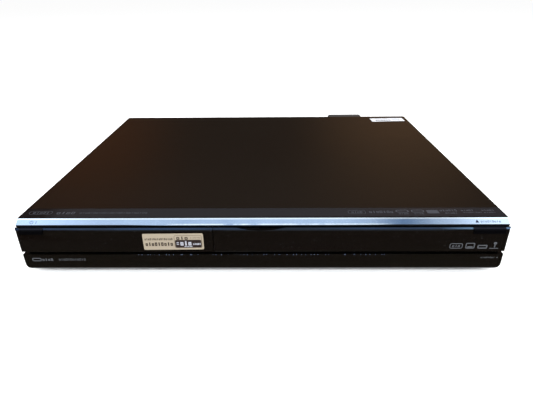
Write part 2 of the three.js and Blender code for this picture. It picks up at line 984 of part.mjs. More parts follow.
// Doors share one section, cut to the plan of the front with its rounded outer corners
const doorSection = [
  [0, doorFaceTop], [door.bevelBack, doorTop], [door.thickness, doorTop],
  [door.thickness, doorBottom], [0, doorBottom],
];
function doorPlate(left, right) {
  return prism('x', rounded(doorSection, [0, 0, 0, 0, door.foot], fewSteps), left, right);
}
function doorEnds(solid) {
  const plan = frontPlan(0, bodyDepth, door.cornerRadius);
  return solid.intersect(prism('z', plan, doorBottom - overcut, doorTop + overcut));
}
function doorReturn(side) {
  const low = doorBottom + door.returnRise;
  const high = doorTop - door.returnInset;
  const outline = [
    [door.thickness - fit, low], [door.returnDepth, low],
    [door.returnDepth, high], [door.thickness - fit, high],
  ];
  const inner = half - door.returnThickness;
  const corners = rounded(outline, [0, door.foot, 2 * door.foot, 0], fewSteps);
  return side < 0 ? prism('x', corners, -half, -inner) : prism('x', corners, inner, half);
}
function keyNotch(button) {
  return block(
    button.left - fit, button.right + fit, -overcut, door.thickness + overcut,
    keyBottom - fit, doorTop + overcut,
  );
}

// The tray's own front with two hooks that take the tray's nose
function trayFront() {
  const plate = doorPlate(-half, seam - door.seamGap / 2).subtract(keyNotch(powerKey));
  const hookHalf = tray.halfWidth * tray.noseShare;
  const hookLows = [
    driveLift + tray.noseTop + fit,
    driveLift + tray.noseBottom - fit - tray.hookThickness,
  ];
  const hooks = hookLows.map((low) => block(
    driveCentre - hookHalf, driveCentre + hookHalf,
    door.thickness - fit, tray.front + tray.hookReach, low, low + tray.hookThickness,
  ));
  return doorEnds(fuse(plate, doorReturn(-1), hooks));
}

// The flap with its finger scoop, its notch for the open/close button and its two hinge lugs
function frontFlap() {
  const left = seam + door.seamGap / 2;
  const radius = (scoop.width ** 2 / 4 + scoop.depth ** 2) / (2 * scoop.depth);
  const arc = range(scoop.steps + 1).map((i) => {
    const x = scoop.width * (i / scoop.steps - 1 / 2);
    return [x, doorTop - scoop.depth + radius - Math.sqrt(radius ** 2 - x ** 2)];
  });
  const above = doorTop + overcut;
  const grip = prism(
    'y', [[-scoop.width / 2, above], ...arc, [scoop.width / 2, above]], -overcut, door.thickness + overcut,
  );
  const lugs = hingeEnds.map(({ lug, side }) => {
    const from = lug - hinge.lugWidth / 2;
    const to = lug + hinge.lugWidth / 2;
    const pinEnd = lug + side * (hinge.lugWidth / 2 + fit + hinge.earWidth + hinge.pinEnd);
    const low = hingeHeight - hinge.noseRadius;
    const root = block(from, to, door.thickness - fit, hinge.back, low, hingeHeight + hinge.noseRadius);
    const pin = hingeBar(hinge.pinRadius, lug, pinEnd, smallSides);
    return fuse(hingeBar(hinge.noseRadius, from, to), root, pin);
  });
  const pockets = hingeEnds.map(({ lug, side }) => {
    const near = lug + side * (hinge.lugWidth / 2);
    return hingeBar(hinge.noseRadius + hinge.noseGap, near, near + side * (hinge.earWidth + 2 * fit));
  });
  const plate = cut(doorPlate(left, half), grip, keyNotch(trayKey), pockets);
  return doorEnds(fuse(plate, doorReturn(1))).add(fuse(lugs));
}

// Keys
function topKey(button) {
  const section = [
    [-key.proud, keyTop - key.bevelDrop], [key.bevelBack - key.proud, keyTop], [key.depth, keyTop],
    [key.depth, keyBottom], [-key.proud, keyBottom],
  ];
  const front = rectangle(button.left, button.right, keyBottom, keyTop);
  const corners = rounded(front, [key.cornerRadius, key.cornerRadius, 0, 0], cornerSteps);
  return prism('x', section, button.left, button.right)
    .intersect(prism('y', corners, -key.proud, key.depth))
    .add(keyStem(button, 0, key.depth - fit, stemRear));
}
function smallKeySolid() {
  const face = rounded(centred(0, 0, smallKey.width, smallKey.height), smallKey.corner, fewSteps);
  const cap = prism('y', face, wallFront - smallKey.proud, wallRear + smallKey.rimThickness);
  const rimWidth = smallKey.width + 2 * smallKey.rim;
  const rimHeight = smallKey.height + 2 * smallKey.rim;
  const rimFront = wallRear + fit + key.travel / 4;
  return fuse(
    cap,
    prism('y', centred(0, 0, rimWidth, rimHeight), rimFront, rimFront + smallKey.rimThickness),
    prism('y', centred(0, 0, smallKey.stem, smallKey.stem), rimFront, stemRear),
  );
}

// Small board with the power switch, behind the left end of the wall
function switchOn(x, z) {
  const bodyFront = boardFront - boardSwitch.depth * boardSwitch.bodyShare;
  const stem = (boardSwitch.width / 2) * boardSwitch.stemShare;
  return fuse(
    prism('y', centred(x, z, boardSwitch.width, boardSwitch.width), bodyFront, boardFront + fit),
    bar3('y', stem, boardFront - boardSwitch.depth, boardFront, x, z, postSides),
  );
}
function powerSwitchBoard() {
  const x = powerKey.stemCentre;
  const wide = switchBoard.width / 2;
  const boardRear = boardFront + boardThickness;
  return block(x - wide, x + wide, boardFront, boardRear, switchBoardBottom, frontBoardTop)
    .add(switchOn(x, keyStemMiddle));
}

// Front board with the display and the sockets behind the flap
function controlBoardSolid() {
  const left = cardSlotCentre + cardSlot.width / 2 + controlBoard.cardGap;
  const outline = rectangle(left, half - controlBoard.sideGap, controlBoard.bottom, frontBoardTop);
  const corners = rounded(outline, [controlBoard.notch, controlBoard.notch, 0, 0], 1);
  return fuse(
    prism('y', corners, boardFront, boardFront + boardThickness),
    smallKeyPlaces.map((x) => switchOn(x, bayMiddle)),
    switchOn(trayKey.stemCentre, keyStemMiddle),
  );
}
function displayWindow() {
  const step = prism('y', displayOutline(display.border + fit), wallFront, wallRear);
  return prism('y', displayOutline(0), wallFront, wallFront + display.windowThickness).add(step);
}
function displayTube() {
  const front = wallRear + display.tubeGap / 2;
  const outline = rounded(displayOutline(-display.tubeBorder / 2), display.tubeCorner);
  const step = displayOutline(display.tubeBorder);
  return prism('y', outline, front, front + display.tubeThickness)
    .add(prism('y', step, front, boardFront - fit));
}
function frontJacks() {
  const { pitch, count, radius, bore, boreDepth, proud, blockHeight } = frontJack;
  const low = bayMiddle - blockHeight / 2;
  const span = (pitch * (count - 1)) / 2 + blockHeight / 2;
  const middle = frontJackFirst + (pitch * (count - 1)) / 2;
  const mouthFront = wallFront - proud;
  const body = block(
    middle - span, middle + span, wallRear + fit, boardFront - fit, low, low + blockHeight,
  );
  const barrels = frontJackPlaces.map((x) => bar3('y', radius, mouthFront, wallRear + slack, x, bayMiddle));
  const mouths = frontJackPlaces.map((x) => bar3(
    'y', bore, mouthFront - overcut, mouthFront + boreDepth, x, bayMiddle, smallSides,
  ));
  return cut(fuse(body, barrels), mouths);
}
function cardSlotSolid() {
  const x = cardSlotCentre;
  const middle = cardSlotMiddle;
  const front = wallRear + fit;
  const mouth = centred(x, middle, cardSlot.openWidth, cardSlot.openHeight);
  return prism('y', centred(x, middle, cardSlot.width, cardSlot.height), front, front + cardSlot.depth)
    .subtract(prism('y', mouth, front - overcut, front + cardSlot.openDepth));
}

// A socket of folded metal with a tongue, its mouth towards the front or the rear
const tongueShare = 0.72;
function shellSocket(size, x, z, from, to, mouth) {
  const middle = z + size.height / 2;
  const along = mouth < 0 ? [from - overcut, to - size.wall] : [from + size.wall, to + overcut];
  const tongueAlong = mouth < 0 ? [from + overcut, to] : [from, to - overcut];
  const innerWidth = size.width - 2 * size.wall;
  const inner = centred(x, middle, innerWidth, size.height - 2 * size.wall);
  return prism('y', centred(x, middle, size.width, size.height), from, to)
    .subtract(prism('y', inner, ...along))
    .add(prism('y', centred(x, middle, innerWidth * tongueShare, size.tongue), ...tongueAlong));
}
function digitalPortSolid() {
  const rearEnd = wallFront + digitalPort.depth;
  return shellSocket(digitalPort, cardSlotCentre, digitalPortBottom, wallFront + fit, rearEnd, -1);
}

// Case
const coverBoxHalf = half - sheet;
const panRear = rear.front - fit;
const footPlaces = [foot.front, bodyDepth - foot.rearInset].flatMap((y) => (
  bothSides((side) => [side * half * foot.sideShare, y])
));
function slotsOnPan(middleX, middleY) {
  return row(middleX, panSlot.pitch, panSlot.count).map((x) => (
    prism('z', centred(x, middleY, panSlot.width, panSlot.length), pan.bottom - overcut, panTop + overcut)
  ));
}
function boardPosts(plate) {
  const xs = [plate.left + board.postInset, plate.right - board.postInset];
  const ys = [plate.front + board.postInset, plate.rear - board.postInset];
  return xs.flatMap((x) => ys.map((y) => (
    bar3('z', board.postRadius, panTop - fit, boardLevel - fit, x, y, postSides)
  )));
}
const drivePostShares = [0.08, 0.92];
const drivePostSideShare = 0.86;
function chassis() {
  const side = coverBoxHalf - pan.sideGap;
  const frontHalf = half - pan.frontInset;
  const flat = [
    [-frontHalf, pan.frontStart], [frontHalf, pan.frontStart],
    [frontHalf, cover.front], [side, cover.front], [side, panRear],
    [-side, panRear], [-side, cover.front], [-frontHalf, cover.front],
  ];
  const flanges = bothSides((s) => block(
    s * side, s * (side - sheet), cover.front, panRear, pan.bottom, panTop + pan.flange,
  ));
  const slots = [
    ...slotsOnPan((powerBoard.left + powerBoard.right) / 2, (powerBoard.front + powerBoard.rear) / 2),
    ...slotsOnPan((diskLeft + diskRight) / 2, disk.front + disk.length / 2),
  ];
  const studs = footPlaces.map(([x, y]) => (
    bar3('z', foot.studRadius + fit, pan.bottom - overcut, panTop + overcut, x, y, smallSides)
  ));
  const drivePosts = drivePostShares.flatMap((share) => bothSides((s) => bar3(
    'z', board.postRadius, panTop - fit, driveLift + drive.floorBottom - fit,
    driveCentre + s * drive.halfWidth * drivePostSideShare, drive.front + share * drive.length, postSides,
  )));
  const posts = [powerBoard, mainBoard, jackBoard].flatMap(boardPosts);
  const bare = cut(fuse(prism('z', flat, pan.bottom, panTop), flanges), slots, studs);
  return bare.add(fuse(drivePosts, posts));
}
function footSolid() {
  return turned('z', [
    [0, 0], [foot.radius - foot.edge, 0], [foot.radius, foot.edge], [foot.radius, footHeight / 2],
    [foot.topRadius, footHeight], [foot.studRadius, footHeight],
    [foot.studRadius, footHeight + foot.studRise], [0, footHeight + foot.studRise],
  ], [0, 0, 0], discSides);
}
function topCover() {
  const inside = half - sheet;
  const under = bodyHeight - sheet;
  const outer = rounded(
    [[-half, cover.skirt], [-half, bodyHeight], [half, bodyHeight], [half, cover.skirt]],
    [0, bendRadius, bendRadius, 0],
  );
  const inner = rounded(
    [[inside, cover.skirt], [inside, under], [-inside, under], [-inside, cover.skirt]],
    [0, bendRadius - sheet, bendRadius - sheet, 0],
  );
  const folded = prism('y', [...outer, ...inner], cover.front, bodyDepth);
  const lipHalf = half - sheet / 2;
  const lipLow = under - cover.lip;
  const lip = block(-lipHalf, lipHalf, bodyDepth - sheet, bodyDepth, lipLow, bodyHeight - sheet / 2);
  const notchHalf = fanWidth / 2 + slack;
  const fanNotch = block(
    fanCentre - notchHalf, fanCentre + notchHalf, bodyDepth - sheet - overcut, bodyDepth + overcut,
    lipLow - overcut, under,
  );
  const slotLow = cover.slotCentreHeight - cover.slotHeight / 2;
  const slots = coverSlotShares
    .flatMap((share) => row(bodyDepth * share, cover.slotPitch, cover.slotCount))
    .map((y) => block(
      -half - overcut, half + overcut, y - cover.slotWidth / 2, y + cover.slotWidth / 2,
      slotLow, slotLow + cover.slotHeight,
    ));
  return cut(folded.add(lip.subtract(fanNotch)), slots);
}

// Rear panel: a sheet with an opening for each socket, the fan and the air slots
function jackPlaces(firstShare, columns) {
  const first = bodyWidth * firstShare;
  const pitch = bodyWidth * phono.pitchShare;
  return range(columns).flatMap((i) => range(phono.rows).map((k) => [
    first + i * pitch, phono.bottom + phono.radius + k * phono.pitchZ,
  ]));
}
const phonoPlaces = jackPlaces(phono.firstShare, phono.columns);
const componentPlaces = jackPlaces(component.firstShare, component.columns);
const tunerLeft = half - tuner.inset - tuner.width;
const tunerPlaces = row(tunerLeft + tuner.width / 2, tuner.width / 2, tuner.sockets)
  .map((x) => [x, tuner.bottom + tuner.height / 2]);
function socketOutline(size, grow = 0) {
  const x = bodyWidth * size.centreShare;
  return centred(x, size.bottom + size.height / 2, size.width + 2 * grow, size.height + 2 * grow);
}
function rearPanel() {
  const side = coverBoxHalf - rear.side;
  const outline = rectangle(-side, side, pan.bottom, bodyHeight - rear.topGap);
  const plate = prism('y', outline, rear.front, rearFace);
  const through = [rear.front - overcut, rearFace + overcut];
  const jacks = [...phonoPlaces, ...componentPlaces];
  const vents = row(bodyWidth * panelVent.centreShare, panelVent.pitch, panelVent.count);
  return cut(
    plate,
    [acInlet, hdmi, optical, network].map((size) => prism('y', socketOutline(size, fit), ...through)),
    jacks.map(([x, z]) => bar3('y', phono.radius + fit, ...through, x, z, midSides)),
    tunerPlaces.map(([x, z]) => bar3('y', tuner.socketRadius + fit, ...through, x, z)),
    bar3('y', fanRing, ...through, fanCentre, fanHeight, wideSides),
    vents.map((x) => block(
      x - panelVent.width / 2, x + panelVent.width / 2, ...through, panelVent.bottom, panelVent.top,
    )),
  );
}

// Fan: housing outside the rear panel, frame with its spokes, rotor
const fanFront = bodyDepth + 2 * fit;
function fanHousing() {
  const front = bodyDepth + fit;
  const backWall = front + fan.depth - fan.wall;
  const left = fanCentre - fanWidth / 2;
  const right = fanCentre + fanWidth / 2;
  const outline = rounded(rectangle(left, right, fan.bottom, fanTop), fan.corner);
  const inner = rectangle(left + fan.wall, right - fan.wall, fan.bottom + fan.wall, fanTop - fan.wall);
  const slots = row(fanCentre, fan.slotPitch, fan.slotCount).map((x) => block(
    x - fan.slotWidth / 2, x + fan.slotWidth / 2, backWall - overcut, front + fan.depth + overcut,
    fan.bottom + 2 * fan.wall, fanTop - 2 * fan.wall,
  ));
  const hollow = prism('y', inner, front - overcut, backWall);
  return cut(prism('y', outline, front, front + fan.depth), hollow, slots);
}
function fanFrame() {
  const side = 2 * (fanRing + fan.wall);
  const spokeFront = fan.frameDepth - fan.wall;
  const body = prism('y', rounded(centred(0, 0, side, side), fan.corner, cornerSteps), 0, fan.frameDepth);
  const duct = bar3('y', fanRing, -overcut, fan.frameDepth + overcut, 0, 0, wideSides);
  const motor = bar3('y', fan.hubRadius, spokeFront, fan.frameDepth, 0, 0);
  const bore = fan.shaftRadius + fit;
  const hole = bar3('y', bore, spokeFront - overcut, fan.frameDepth + overcut, 0, 0, smallSides);
  const bare = rectangle(
    fan.hubRadius - fan.wall, fanRing + overcut, -fan.spokeWidth / 2, fan.spokeWidth / 2,
  );
  const spokes = range(fan.spokes).map((i) => (
    prism('y', turnedOutline(bare, (2 * Math.PI * i) / fan.spokes), spokeFront, fan.frameDepth)
  ));
  return cut(body, duct).add(fuse(motor, spokes)).subtract(hole);
}
function fanRotor() {
  const depth = fan.frameDepth - fan.wall - 2 * fit;
  const hub = bar3('y', fan.hubRadius, fit, fit + depth, 0, 0);
  const shaft = bar3('y', fan.shaftRadius, depth, fan.frameDepth, 0, 0, smallSides);
  const blades = range(fan.blades).map((i) => {
    const length = bladeRadius - fan.hubRadius + fan.wall;
    const geometry = new THREE.BoxGeometry(length, fan.bladeThickness, depth * fan.bladeShare);
    geometry.translate(bladeRadius - length / 2, 0, 0);
    geometry.rotateX(fan.bladeTwist);
    geometry.rotateZ((2 * Math.PI * i) / fan.blades);
    geometry.applyMatrix4(turns.y);
    geometry.translate(0, fit + depth / 2, 0);
    return solidOf(geometry);
  });
  const swept = bar3('y', bladeRadius, 0, fan.frameDepth, 0, 0, wideSides);
  return fuse(hub, shaft, blades).intersect(swept);
}

// Rear sockets
function acInletSolid() {
  const x = bodyWidth * acInlet.centreShare;
  const rearEnd = bodyDepth + acInlet.proud;
  const frontEnd = rear.front - acInlet.depth;
  const middle = acInlet.bottom + acInlet.height / 2;
  const flangeWidth = acInlet.width + 2 * acInlet.flange;
  const flange = centred(x, middle, flangeWidth, acInlet.height + 2 * acInlet.wall);
  const mouth = socketOutline(acInlet, -acInlet.wall);
  const floor = frontEnd + acInlet.wall;
  const pinTip = floor + acInlet.pinLength;
  const pins = bothSides((side) => bar3(
    'y', acInlet.pinRadius, floor - fit, pinTip, x + (side * acInlet.pinGap) / 2, middle, smallSides,
  ));
  return fuse(
    prism('y', socketOutline(acInlet), frontEnd, rearEnd),
    prism('y', rounded(flange, acInlet.flangeCorner, cornerSteps), rearFace + fit, rearEnd),
  )
    .subtract(prism('y', rounded(mouth, acInlet.mouthCorner, fewSteps), floor, rearEnd + overcut))
    .add(fuse(pins));
}
function phonoBlock(places) {
  const xs = places.map(([x]) => x);
  const zs = places.map(([, z]) => z);
  const sideMargin = (bodyWidth * phono.pitchShare) / 2 - fit;
  const topMargin = phono.pitchZ / 2 - fit;
  const rearEnd = rearFace + phono.length;
  const body = block(
    Math.min(...xs) - sideMargin, Math.max(...xs) + sideMargin,
    rear.front - fit - phono.block, rear.front - fit, partsLevel + fit, Math.max(...zs) + topMargin,
  );
  const barrels = places.map(([x, z]) => bar3('y', phono.radius, rear.front - slack, rearEnd, x, z));
  const mouths = places.map(([x, z]) => (
    bar3('y', phono.bore, rearEnd - phono.boreDepth, rearEnd + overcut, x, z, postSides)
  ));
  return cut(fuse(body, barrels), mouths);
}
function hdmiSocket() {
  const to = rearFace + hdmi.proud;
  return shellSocket(hdmi, bodyWidth * hdmi.centreShare, hdmi.bottom, to - hdmi.depth, to, 1);
}
function networkSocket() {
  const x = bodyWidth * network.centreShare;
  const to = rearFace + network.proud;
  const from = to - network.cut;
  const middle = network.bottom + network.height / 2;
  const low = middle - network.openHeight / 2;
  return cut(
    prism('y', socketOutline(network), to - network.depth, to),
    prism('y', centred(x, middle, network.opening, network.openHeight), from, to + overcut),
    block(
      x - network.opening / 4, x + network.opening / 4, from, to + overcut,
      low - network.latchDrop, low + overcut,
    ),
  );
}
function opticalSocket() {
  const x = bodyWidth * optical.centreShare;
  const to = rearFace + optical.proud;
  const opening = centred(x, optical.bottom + optical.height / 2, optical.opening, optical.opening);
  const mouth = rounded(opening, [0, 0, optical.corner, optical.corner], 1);
  return prism('y', socketOutline(optical), to - optical.depth, to)
    .subtract(prism('y', mouth, to - optical.recess, to + overcut));
}
function tunerBox() {
  const { socketRadius, socketLength, bore, nut, nutThickness } = tuner;
  const rearEnd = rearFace + socketLength;
  const body = block(
    tunerLeft, tunerLeft + tuner.width, rear.front - fit - tuner.length, rear.front - fit,
    partsLevel + fit, tuner.bottom + tuner.height,
  );
  const nutFront = rearFace + fit;
  const barrels = tunerPlaces.map(([x, z]) => fuse(
    bar3('y', socketRadius, rear.front - slack, rearEnd, x, z),
    bar3('y', nut, nutFront, nutFront + nutThickness, x, z, nutSides),
  ));
  const mouths = tunerPlaces.map(([x, z]) => (
    bar3('y', bore, rearFace + socketLength / 2, rearEnd + overcut, x, z, smallSides)
  ));
  return cut(fuse(body, barrels), mouths);
}

// Boards and the parts on them
function boardSolid(plate, chips) {
  const bare = block(plate.left, plate.right, plate.front, plate.rear, boardLevel, partsLevel);
  return fuse(bare, chips.map(({ shareX, shareY, width, depth, height }) => {
    const [x, y] = onBoard(plate, shareX, shareY);
    return prism('z', centred(x, y, width, depth), partsLevel - fit, partsLevel + height);
  }));
}
function onBoard(plate, shareX, shareY) {
  const x = plate.left + shareX * (plate.right - plate.left);
  const y = plate.front + shareY * (plate.rear - plate.front);
  return [x, y];
}
function transformerSolid() {
  const { shareX, shareY, width, depth, height, coreDepth, limb, yoke, bobbin } = transformer;
  const [x, y] = onBoard(powerBoard, shareX, shareY);
  const low = partsLevel + fit;
  const inner = width / 2 - limb;
  const window = rectangle(x - inner, x + inner, low + yoke, low + height - yoke).reverse();
  const core = rectangle(x - width / 2, x + width / 2, low, low + height);
  const wide = inner + bobbin;
  return fuse(
    prism('y', core, y - coreDepth / 2, y + coreDepth / 2, [window]),
    block(x - wide, x + wide, y - depth / 2, y + depth / 2, low + bobbin, low + height - bobbin),
    bothSides((side) => prism(
      'z', centred(x, y + (side * depth) / 2, width, 2 * bobbin), low, low + 2 * bobbin,
    )),
  );
}
function capacitorSolid() {
  const { radius: r, height, groove, neckHeight } = capacitor;
  const low = partsLevel + fit;
  const top = low + height;
  const neck = low + neckHeight;
  return turned('z', [
    [0, low], [r - groove, low], [r, low + groove], [r, neck - groove], [r - groove, neck],
    [r, neck + groove], [r, top - groove], [r - groove, top], [0, top],
  ], [...onBoard(powerBoard, capacitor.shareX, capacitor.shareY), 0]);
}
function heatSink() {
  const low = partsLevel + fit;
  const right = powerBoard.right - sink.rightInset;
  const left = right - sink.width;
  const inset = (powerBoard.rear - powerBoard.front) * sink.endShare;
  const front = powerBoard.front + inset;
  const back = powerBoard.rear - inset;
  const gap = (back - front - sink.fin) / (sink.count - 1);
  return fuse(
    block(left, left + sink.base, front, back, low, low + sink.height),
    range(sink.count).map((i) => (
      block(left, right, front + i * gap, front + i * gap + sink.fin, low, low + sink.height)
    )),
  );
}
function spreaderSolid() {
  const [x, y] = onBoard(mainBoard, spreader.shareX, spreader.shareY);
  const low = partsLevel + fit;
  const left = x - spreader.size / 2;
  const front = y - spreader.size / 2;
  const back = y + spreader.size / 2;
  const gap = (spreader.size - spreader.fin) / (spreader.fins - 1);
  return fuse(
    block(left, left + spreader.size, front, back, low, low + spreader.base),
    range(spreader.fins).map((i) => (
      block(left + i * gap, left + i * gap + spreader.fin, front, back, low, low + spreader.height)
    )),
  );
}

// Hard disk in its bracket
function hardDisk() {
  const { width, front, length, bottom, height, lidHeight } = disk;
  const rearEnd = front + length;
  const lidLow = bottom + height - lidHeight;
  const outline = rounded(rectangle(diskLeft, diskRight, front, rearEnd), disk.corner, fewSteps);
  const lid = rectangle(
    diskLeft + disk.lidInset, diskRight - disk.lidInset, front + disk.lidInset, rearEnd - disk.lidRear,
  );
  const bay = block(
    diskLeft + width * disk.bayStartShare, diskLeft + width * disk.bayEndShare,
    rearEnd - disk.bayDepth, rearEnd + overcut, bottom - overcut, bottom + disk.bayHeight,
  );
  return prism('z', outline, bottom, lidLow)
    .add(prism('z', rounded(lid, disk.lidCorner, cornerSteps), lidLow - fit, bottom + height))
    .subtract(bay);
}
function diskBracket() {
  const { thickness, lip, tabLength } = bracket;
  const from = diskLeft - fit - thickness;
  const to = diskRight + fit + thickness;
  const low = disk.bottom - fit - thickness;
  const front = disk.front + disk.length * bracket.startShare;
  const back = disk.front + disk.length * bracket.endShare;
  const top = disk.bottom + lip;
  const legs = [front, back - tabLength].flatMap((y) => [from, to - tabLength].map((x) => (
    block(x, x + tabLength, y, y + tabLength, panTop + fit, low + fit)
  )));
  return fuse(
    block(from, to, front, back, low, low + thickness),
    block(from, from + thickness, front, back, low, top),
    block(to - thickness, to, front, back, low, top),
    legs,
  );
}

// Disc drive. Its pieces are drawn about the drive's own middle line, x = 0.
const keeperShares = [0.03, 0.4, 0.8];
function driveBase() {
  const h = drive.halfWidth;
  const inner = h - drive.wall;
  const gear = loadGearPlace;
  const railInner = inner - drive.railReach;
  const railLow = drive.railTop - drive.railThickness;
  const keeperInner = inner - drive.keeperReach;
  const keeperTop = drive.keeperBottom + drive.keeperThickness;
  const walls = bothSides((s) => block(
    s * h, s * inner, drive.front, driveRear, drive.floorBottom, drive.wallTop,
  ));
  const rails = bothSides((s) => block(
    s * (inner + fit), s * railInner, drive.front, driveRear - fit, railLow, drive.railTop,
  ));
  const keepers = keeperShares.flatMap((share) => bothSides((s) => {
    const front = drive.front + share * drive.length;
    return block(
      s * (inner + fit), s * keeperInner, front, front + drive.keeperLength, drive.keeperBottom, keeperTop,
    );
  }));
  const window = block(
    -drive.windowHalf, drive.windowHalf,
    traverse.front + traverse.blockLength, traverse.rear - traverse.blockLength,
    drive.floorBottom - overcut, drive.floorTop + overcut,
  );
  const floor = block(-h, h, drive.front, driveRear, drive.floorBottom, drive.floorTop);
  const back = block(-h, h, driveRear - drive.wall, driveRear, drive.floorBottom, drive.wallTop);
  const post = bar3(
    'z', loadWheel.postRadius, drive.floorTop - fit, tray.bottom - fit, gear.x, gear.y, smallSides,
  );
  return cut(fuse(floor, walls, back, rails, keepers), window).add(post);
}

const loadRadius = (tooth.module * loadWheel.teeth) / 2;
const lowerRadius = (tooth.module * loadWheel.lowerTeeth) / 2;
const pinionRadius = (tooth.module * loadPinion.teeth) / 2;
const loadGearPlace = { x: rack.pitchLine - loadRadius, y: loadWheel.back };
const pinionPlace = { x: loadGearPlace.x - lowerRadius - pinionRadius, y: loadWheel.back };
const upperBottom = rack.bottom;
const lowerBottom = upperBottom - loadWheel.lower - fit;

// Tray with its seats for both disc sizes, the slot for the reader, a pocket and the rack below
function discTray() {
  const h = tray.halfWidth;
  const c = tray.corner;
  const plateFront = tray.front + tray.frontLip;
  const above = tray.top + overcut;
  const outline = rounded(rectangle(-h, h, plateFront, tray.rear), c, fewSteps);
  const noseHalf = h * tray.noseShare;
  const lipFront = tray.front + tray.hookReach + 2 * fit;
  const slotFront = tray.discBack - tray.slotFront;
  const slotRear = tray.discBack + tray.slotRear;
  const slot = rounded(rectangle(-tray.slotHalf, tray.slotHalf, slotFront, slotRear), c, cornerSteps);
  const pocket = rounded(rectangle(c - h, h - c, slotRear + c, tray.rear - c), c, fewSteps);
  const teeth = rackOutline(rack.pitchLine, -1, rack.front, rack.rear, loadWheel.back, rack.back);
  return cut(
    fuse(
      prism('z', outline, tray.bottom, tray.top),
      block(-noseHalf, noseHalf, tray.front, plateFront + c, tray.noseBottom, tray.noseTop),
      block(-noseHalf, noseHalf, lipFront, plateFront + fit, tray.bottom, tray.top),
    ),
    bar3('z', discRadius + slack, tray.discFloor, above, 0, tray.discBack, wideSides),
    bar3('z', tray.smallDiscRadius, tray.smallDiscFloor, above, 0, tray.discBack, wideSides),
    prism('z', slot, tray.bottom - overcut, above),
    prism('z', pocket, tray.discFloor, above),
    bothSides((s) => bar3('z', tray.gripRadius, tray.discFloor, above, s * h, tray.discBack)),
  ).add(prism('z', teeth, rack.bottom, tray.bottom + fit));
}

// A wheel meets a rack at its own first axis, tooth in gap.
// Half a tooth of turn makes room for the tooth of another wheel.
function loadGear() {
  const upperTop = upperBottom + loadWheel.upper;
  const upper = prism('z', wheelOutline(loadWheel.teeth), upperBottom, upperTop);
  const lowerOutline = turnedOutline(wheelOutline(loadWheel.lowerTeeth), Math.PI);
  const lower = prism('z', lowerOutline, lowerBottom, lowerBottom + loadWheel.lower);
  const web = bar3('z', loadRadius - tooth.root * tooth.module, lowerBottom, upperBottom + fit, 0, 0);
  const bore = bar3('z', loadWheel.bore, lowerBottom - overcut, upperTop + overcut, 0, 0, smallSides);
  return fuse(upper, lower, web).subtract(bore);
}
const loadMotorTop = lowerBottom - 2 * fit;
function loadPinionSolid() {
  const outline = turnedOutline(wheelOutline(loadPinion.teeth), Math.PI / loadPinion.teeth);
  const low = lowerBottom - fit;
  const shaftLow = loadMotorTop - loadMotor.bore + fit;
  return prism('z', outline, low, low + loadPinion.height)
    .add(bar3('z', loadPinion.shaftRadius, shaftLow, lowerBottom, 0, 0, postSides));
}
function motorCan(radius, bottom, top, bore, boreRadius, flatShare) {
  const flat = radius * flatShare;
  return bar3('z', radius, bottom, top, 0, 0)
    .intersect(block(-radius, radius, -flat, flat, bottom, top))
    .subtract(bar3('z', boreRadius + fit, top - bore, top + overcut, 0, 0, smallSides));
}

// Reader mechanism: frame with two guide rods, spindle motor and turntable, pickup, sled drive
function traverseFrame() {
  const low = drive.floorTop + fit;
  const { halfWidth: h, front, rear: back, blockLength, rodHalf, rodHeight } = traverse;
  const outer = rounded(rectangle(-h, h, front, back), traverse.corner, fewSteps);
  const windowSide = drive.windowHalf - blockLength;
  const window = rectangle(
    -windowSide, windowSide, tray.discBack + spindle.radius + slack, back - 2 * blockLength,
  );
  const side = traverse.blockWidth / 2;
  const blocks = [front, back - blockLength].flatMap((y) => bothSides((s) => block(
    s * rodHalf - side, s * rodHalf + side, y, y + blockLength, low, rodHeight + side,
  )));
  const holes = bothSides((s) => bar3(
    'y', rod.radius + rod.play, front - overcut, back + overcut, s * rodHalf, rodHeight, smallSides,
  ));
  return cut(fuse(prism('z', outer, low, low + traverse.thickness, [window.reverse()]), blocks), holes);
}
function guideRod() {
  return bar3('y', rod.radius, traverse.front, traverse.rear, 0, 0, smallSides);
}
const spindleBottom = drive.floorTop + 2 * fit + traverse.thickness;
function spindleMotor() {
  return motorCan(
    spindle.radius, spindleBottom, spindle.top, spindle.top - spindleBottom - fit, spindle.shaftRadius, 1,
  );
}
function turntableSolid() {
  const { tableRadius: t, hubRadius: h, hubEdge: e, tableTop, hubTop, top, shaftRadius: s } = spindle;
  const shaftLow = top - spindle.shaftDepth;
  return turned('z', [
    [0, shaftLow], [s, shaftLow], [s, top + fit], [t, top + fit], [t, tableTop],
    [h, tableTop], [h, hubTop - e], [h - e, hubTop], [0, hubTop],
  ], [0, 0, 0]);
}
function pickupSolid() {
  const { front, length, halfWidth: h, bottom, top, armBottom, armTop, lensRadius: r } = pickup;
  const back = front + length;
  const armHalf = traverse.rodHalf + traverse.blockWidth / 2;
  const armFront = front + length * pickup.armShare;
  const armBack = back - length * pickup.armShare;
  const reach = 2 * Math.PI * tooth.module;
  const teeth = rackOutline(
    sled.rackFace, 1, sled.back - pickup.travel - reach, sled.back + reach, sled.back, pickup.rackBack,
  );
  const rackTop = sled.bottom + sled.height;
  const rackRoot = sled.rackFace - tooth.root * tooth.module;
  const lens = [[0, top - fit], [r, top - fit], [r, top + fit], [pickup.lensTopRadius, pickup.lensTop]];
  const bores = bothSides((s) => bar3(
    'y', rod.radius + rod.play, front - overcut, back + overcut,
    s * traverse.rodHalf, traverse.rodHeight, smallSides,
  ));
  return cut(
    fuse(
      prism('z', rounded(rectangle(-h, h, front, back), pickup.corner, fewSteps), bottom, top),
      block(-armHalf, armHalf, armFront, armBack, armBottom, armTop),
      turned('z', [...lens, [0, pickup.lensTop]], [0, front + pickup.lensBack, 0]),
    ),
    bores,
  ).add(fuse(
    prism('z', teeth, sled.bottom, rackTop),
    block(armHalf - fit, rackRoot, armFront, armBack, sled.bottom, rackTop),
  ));
}
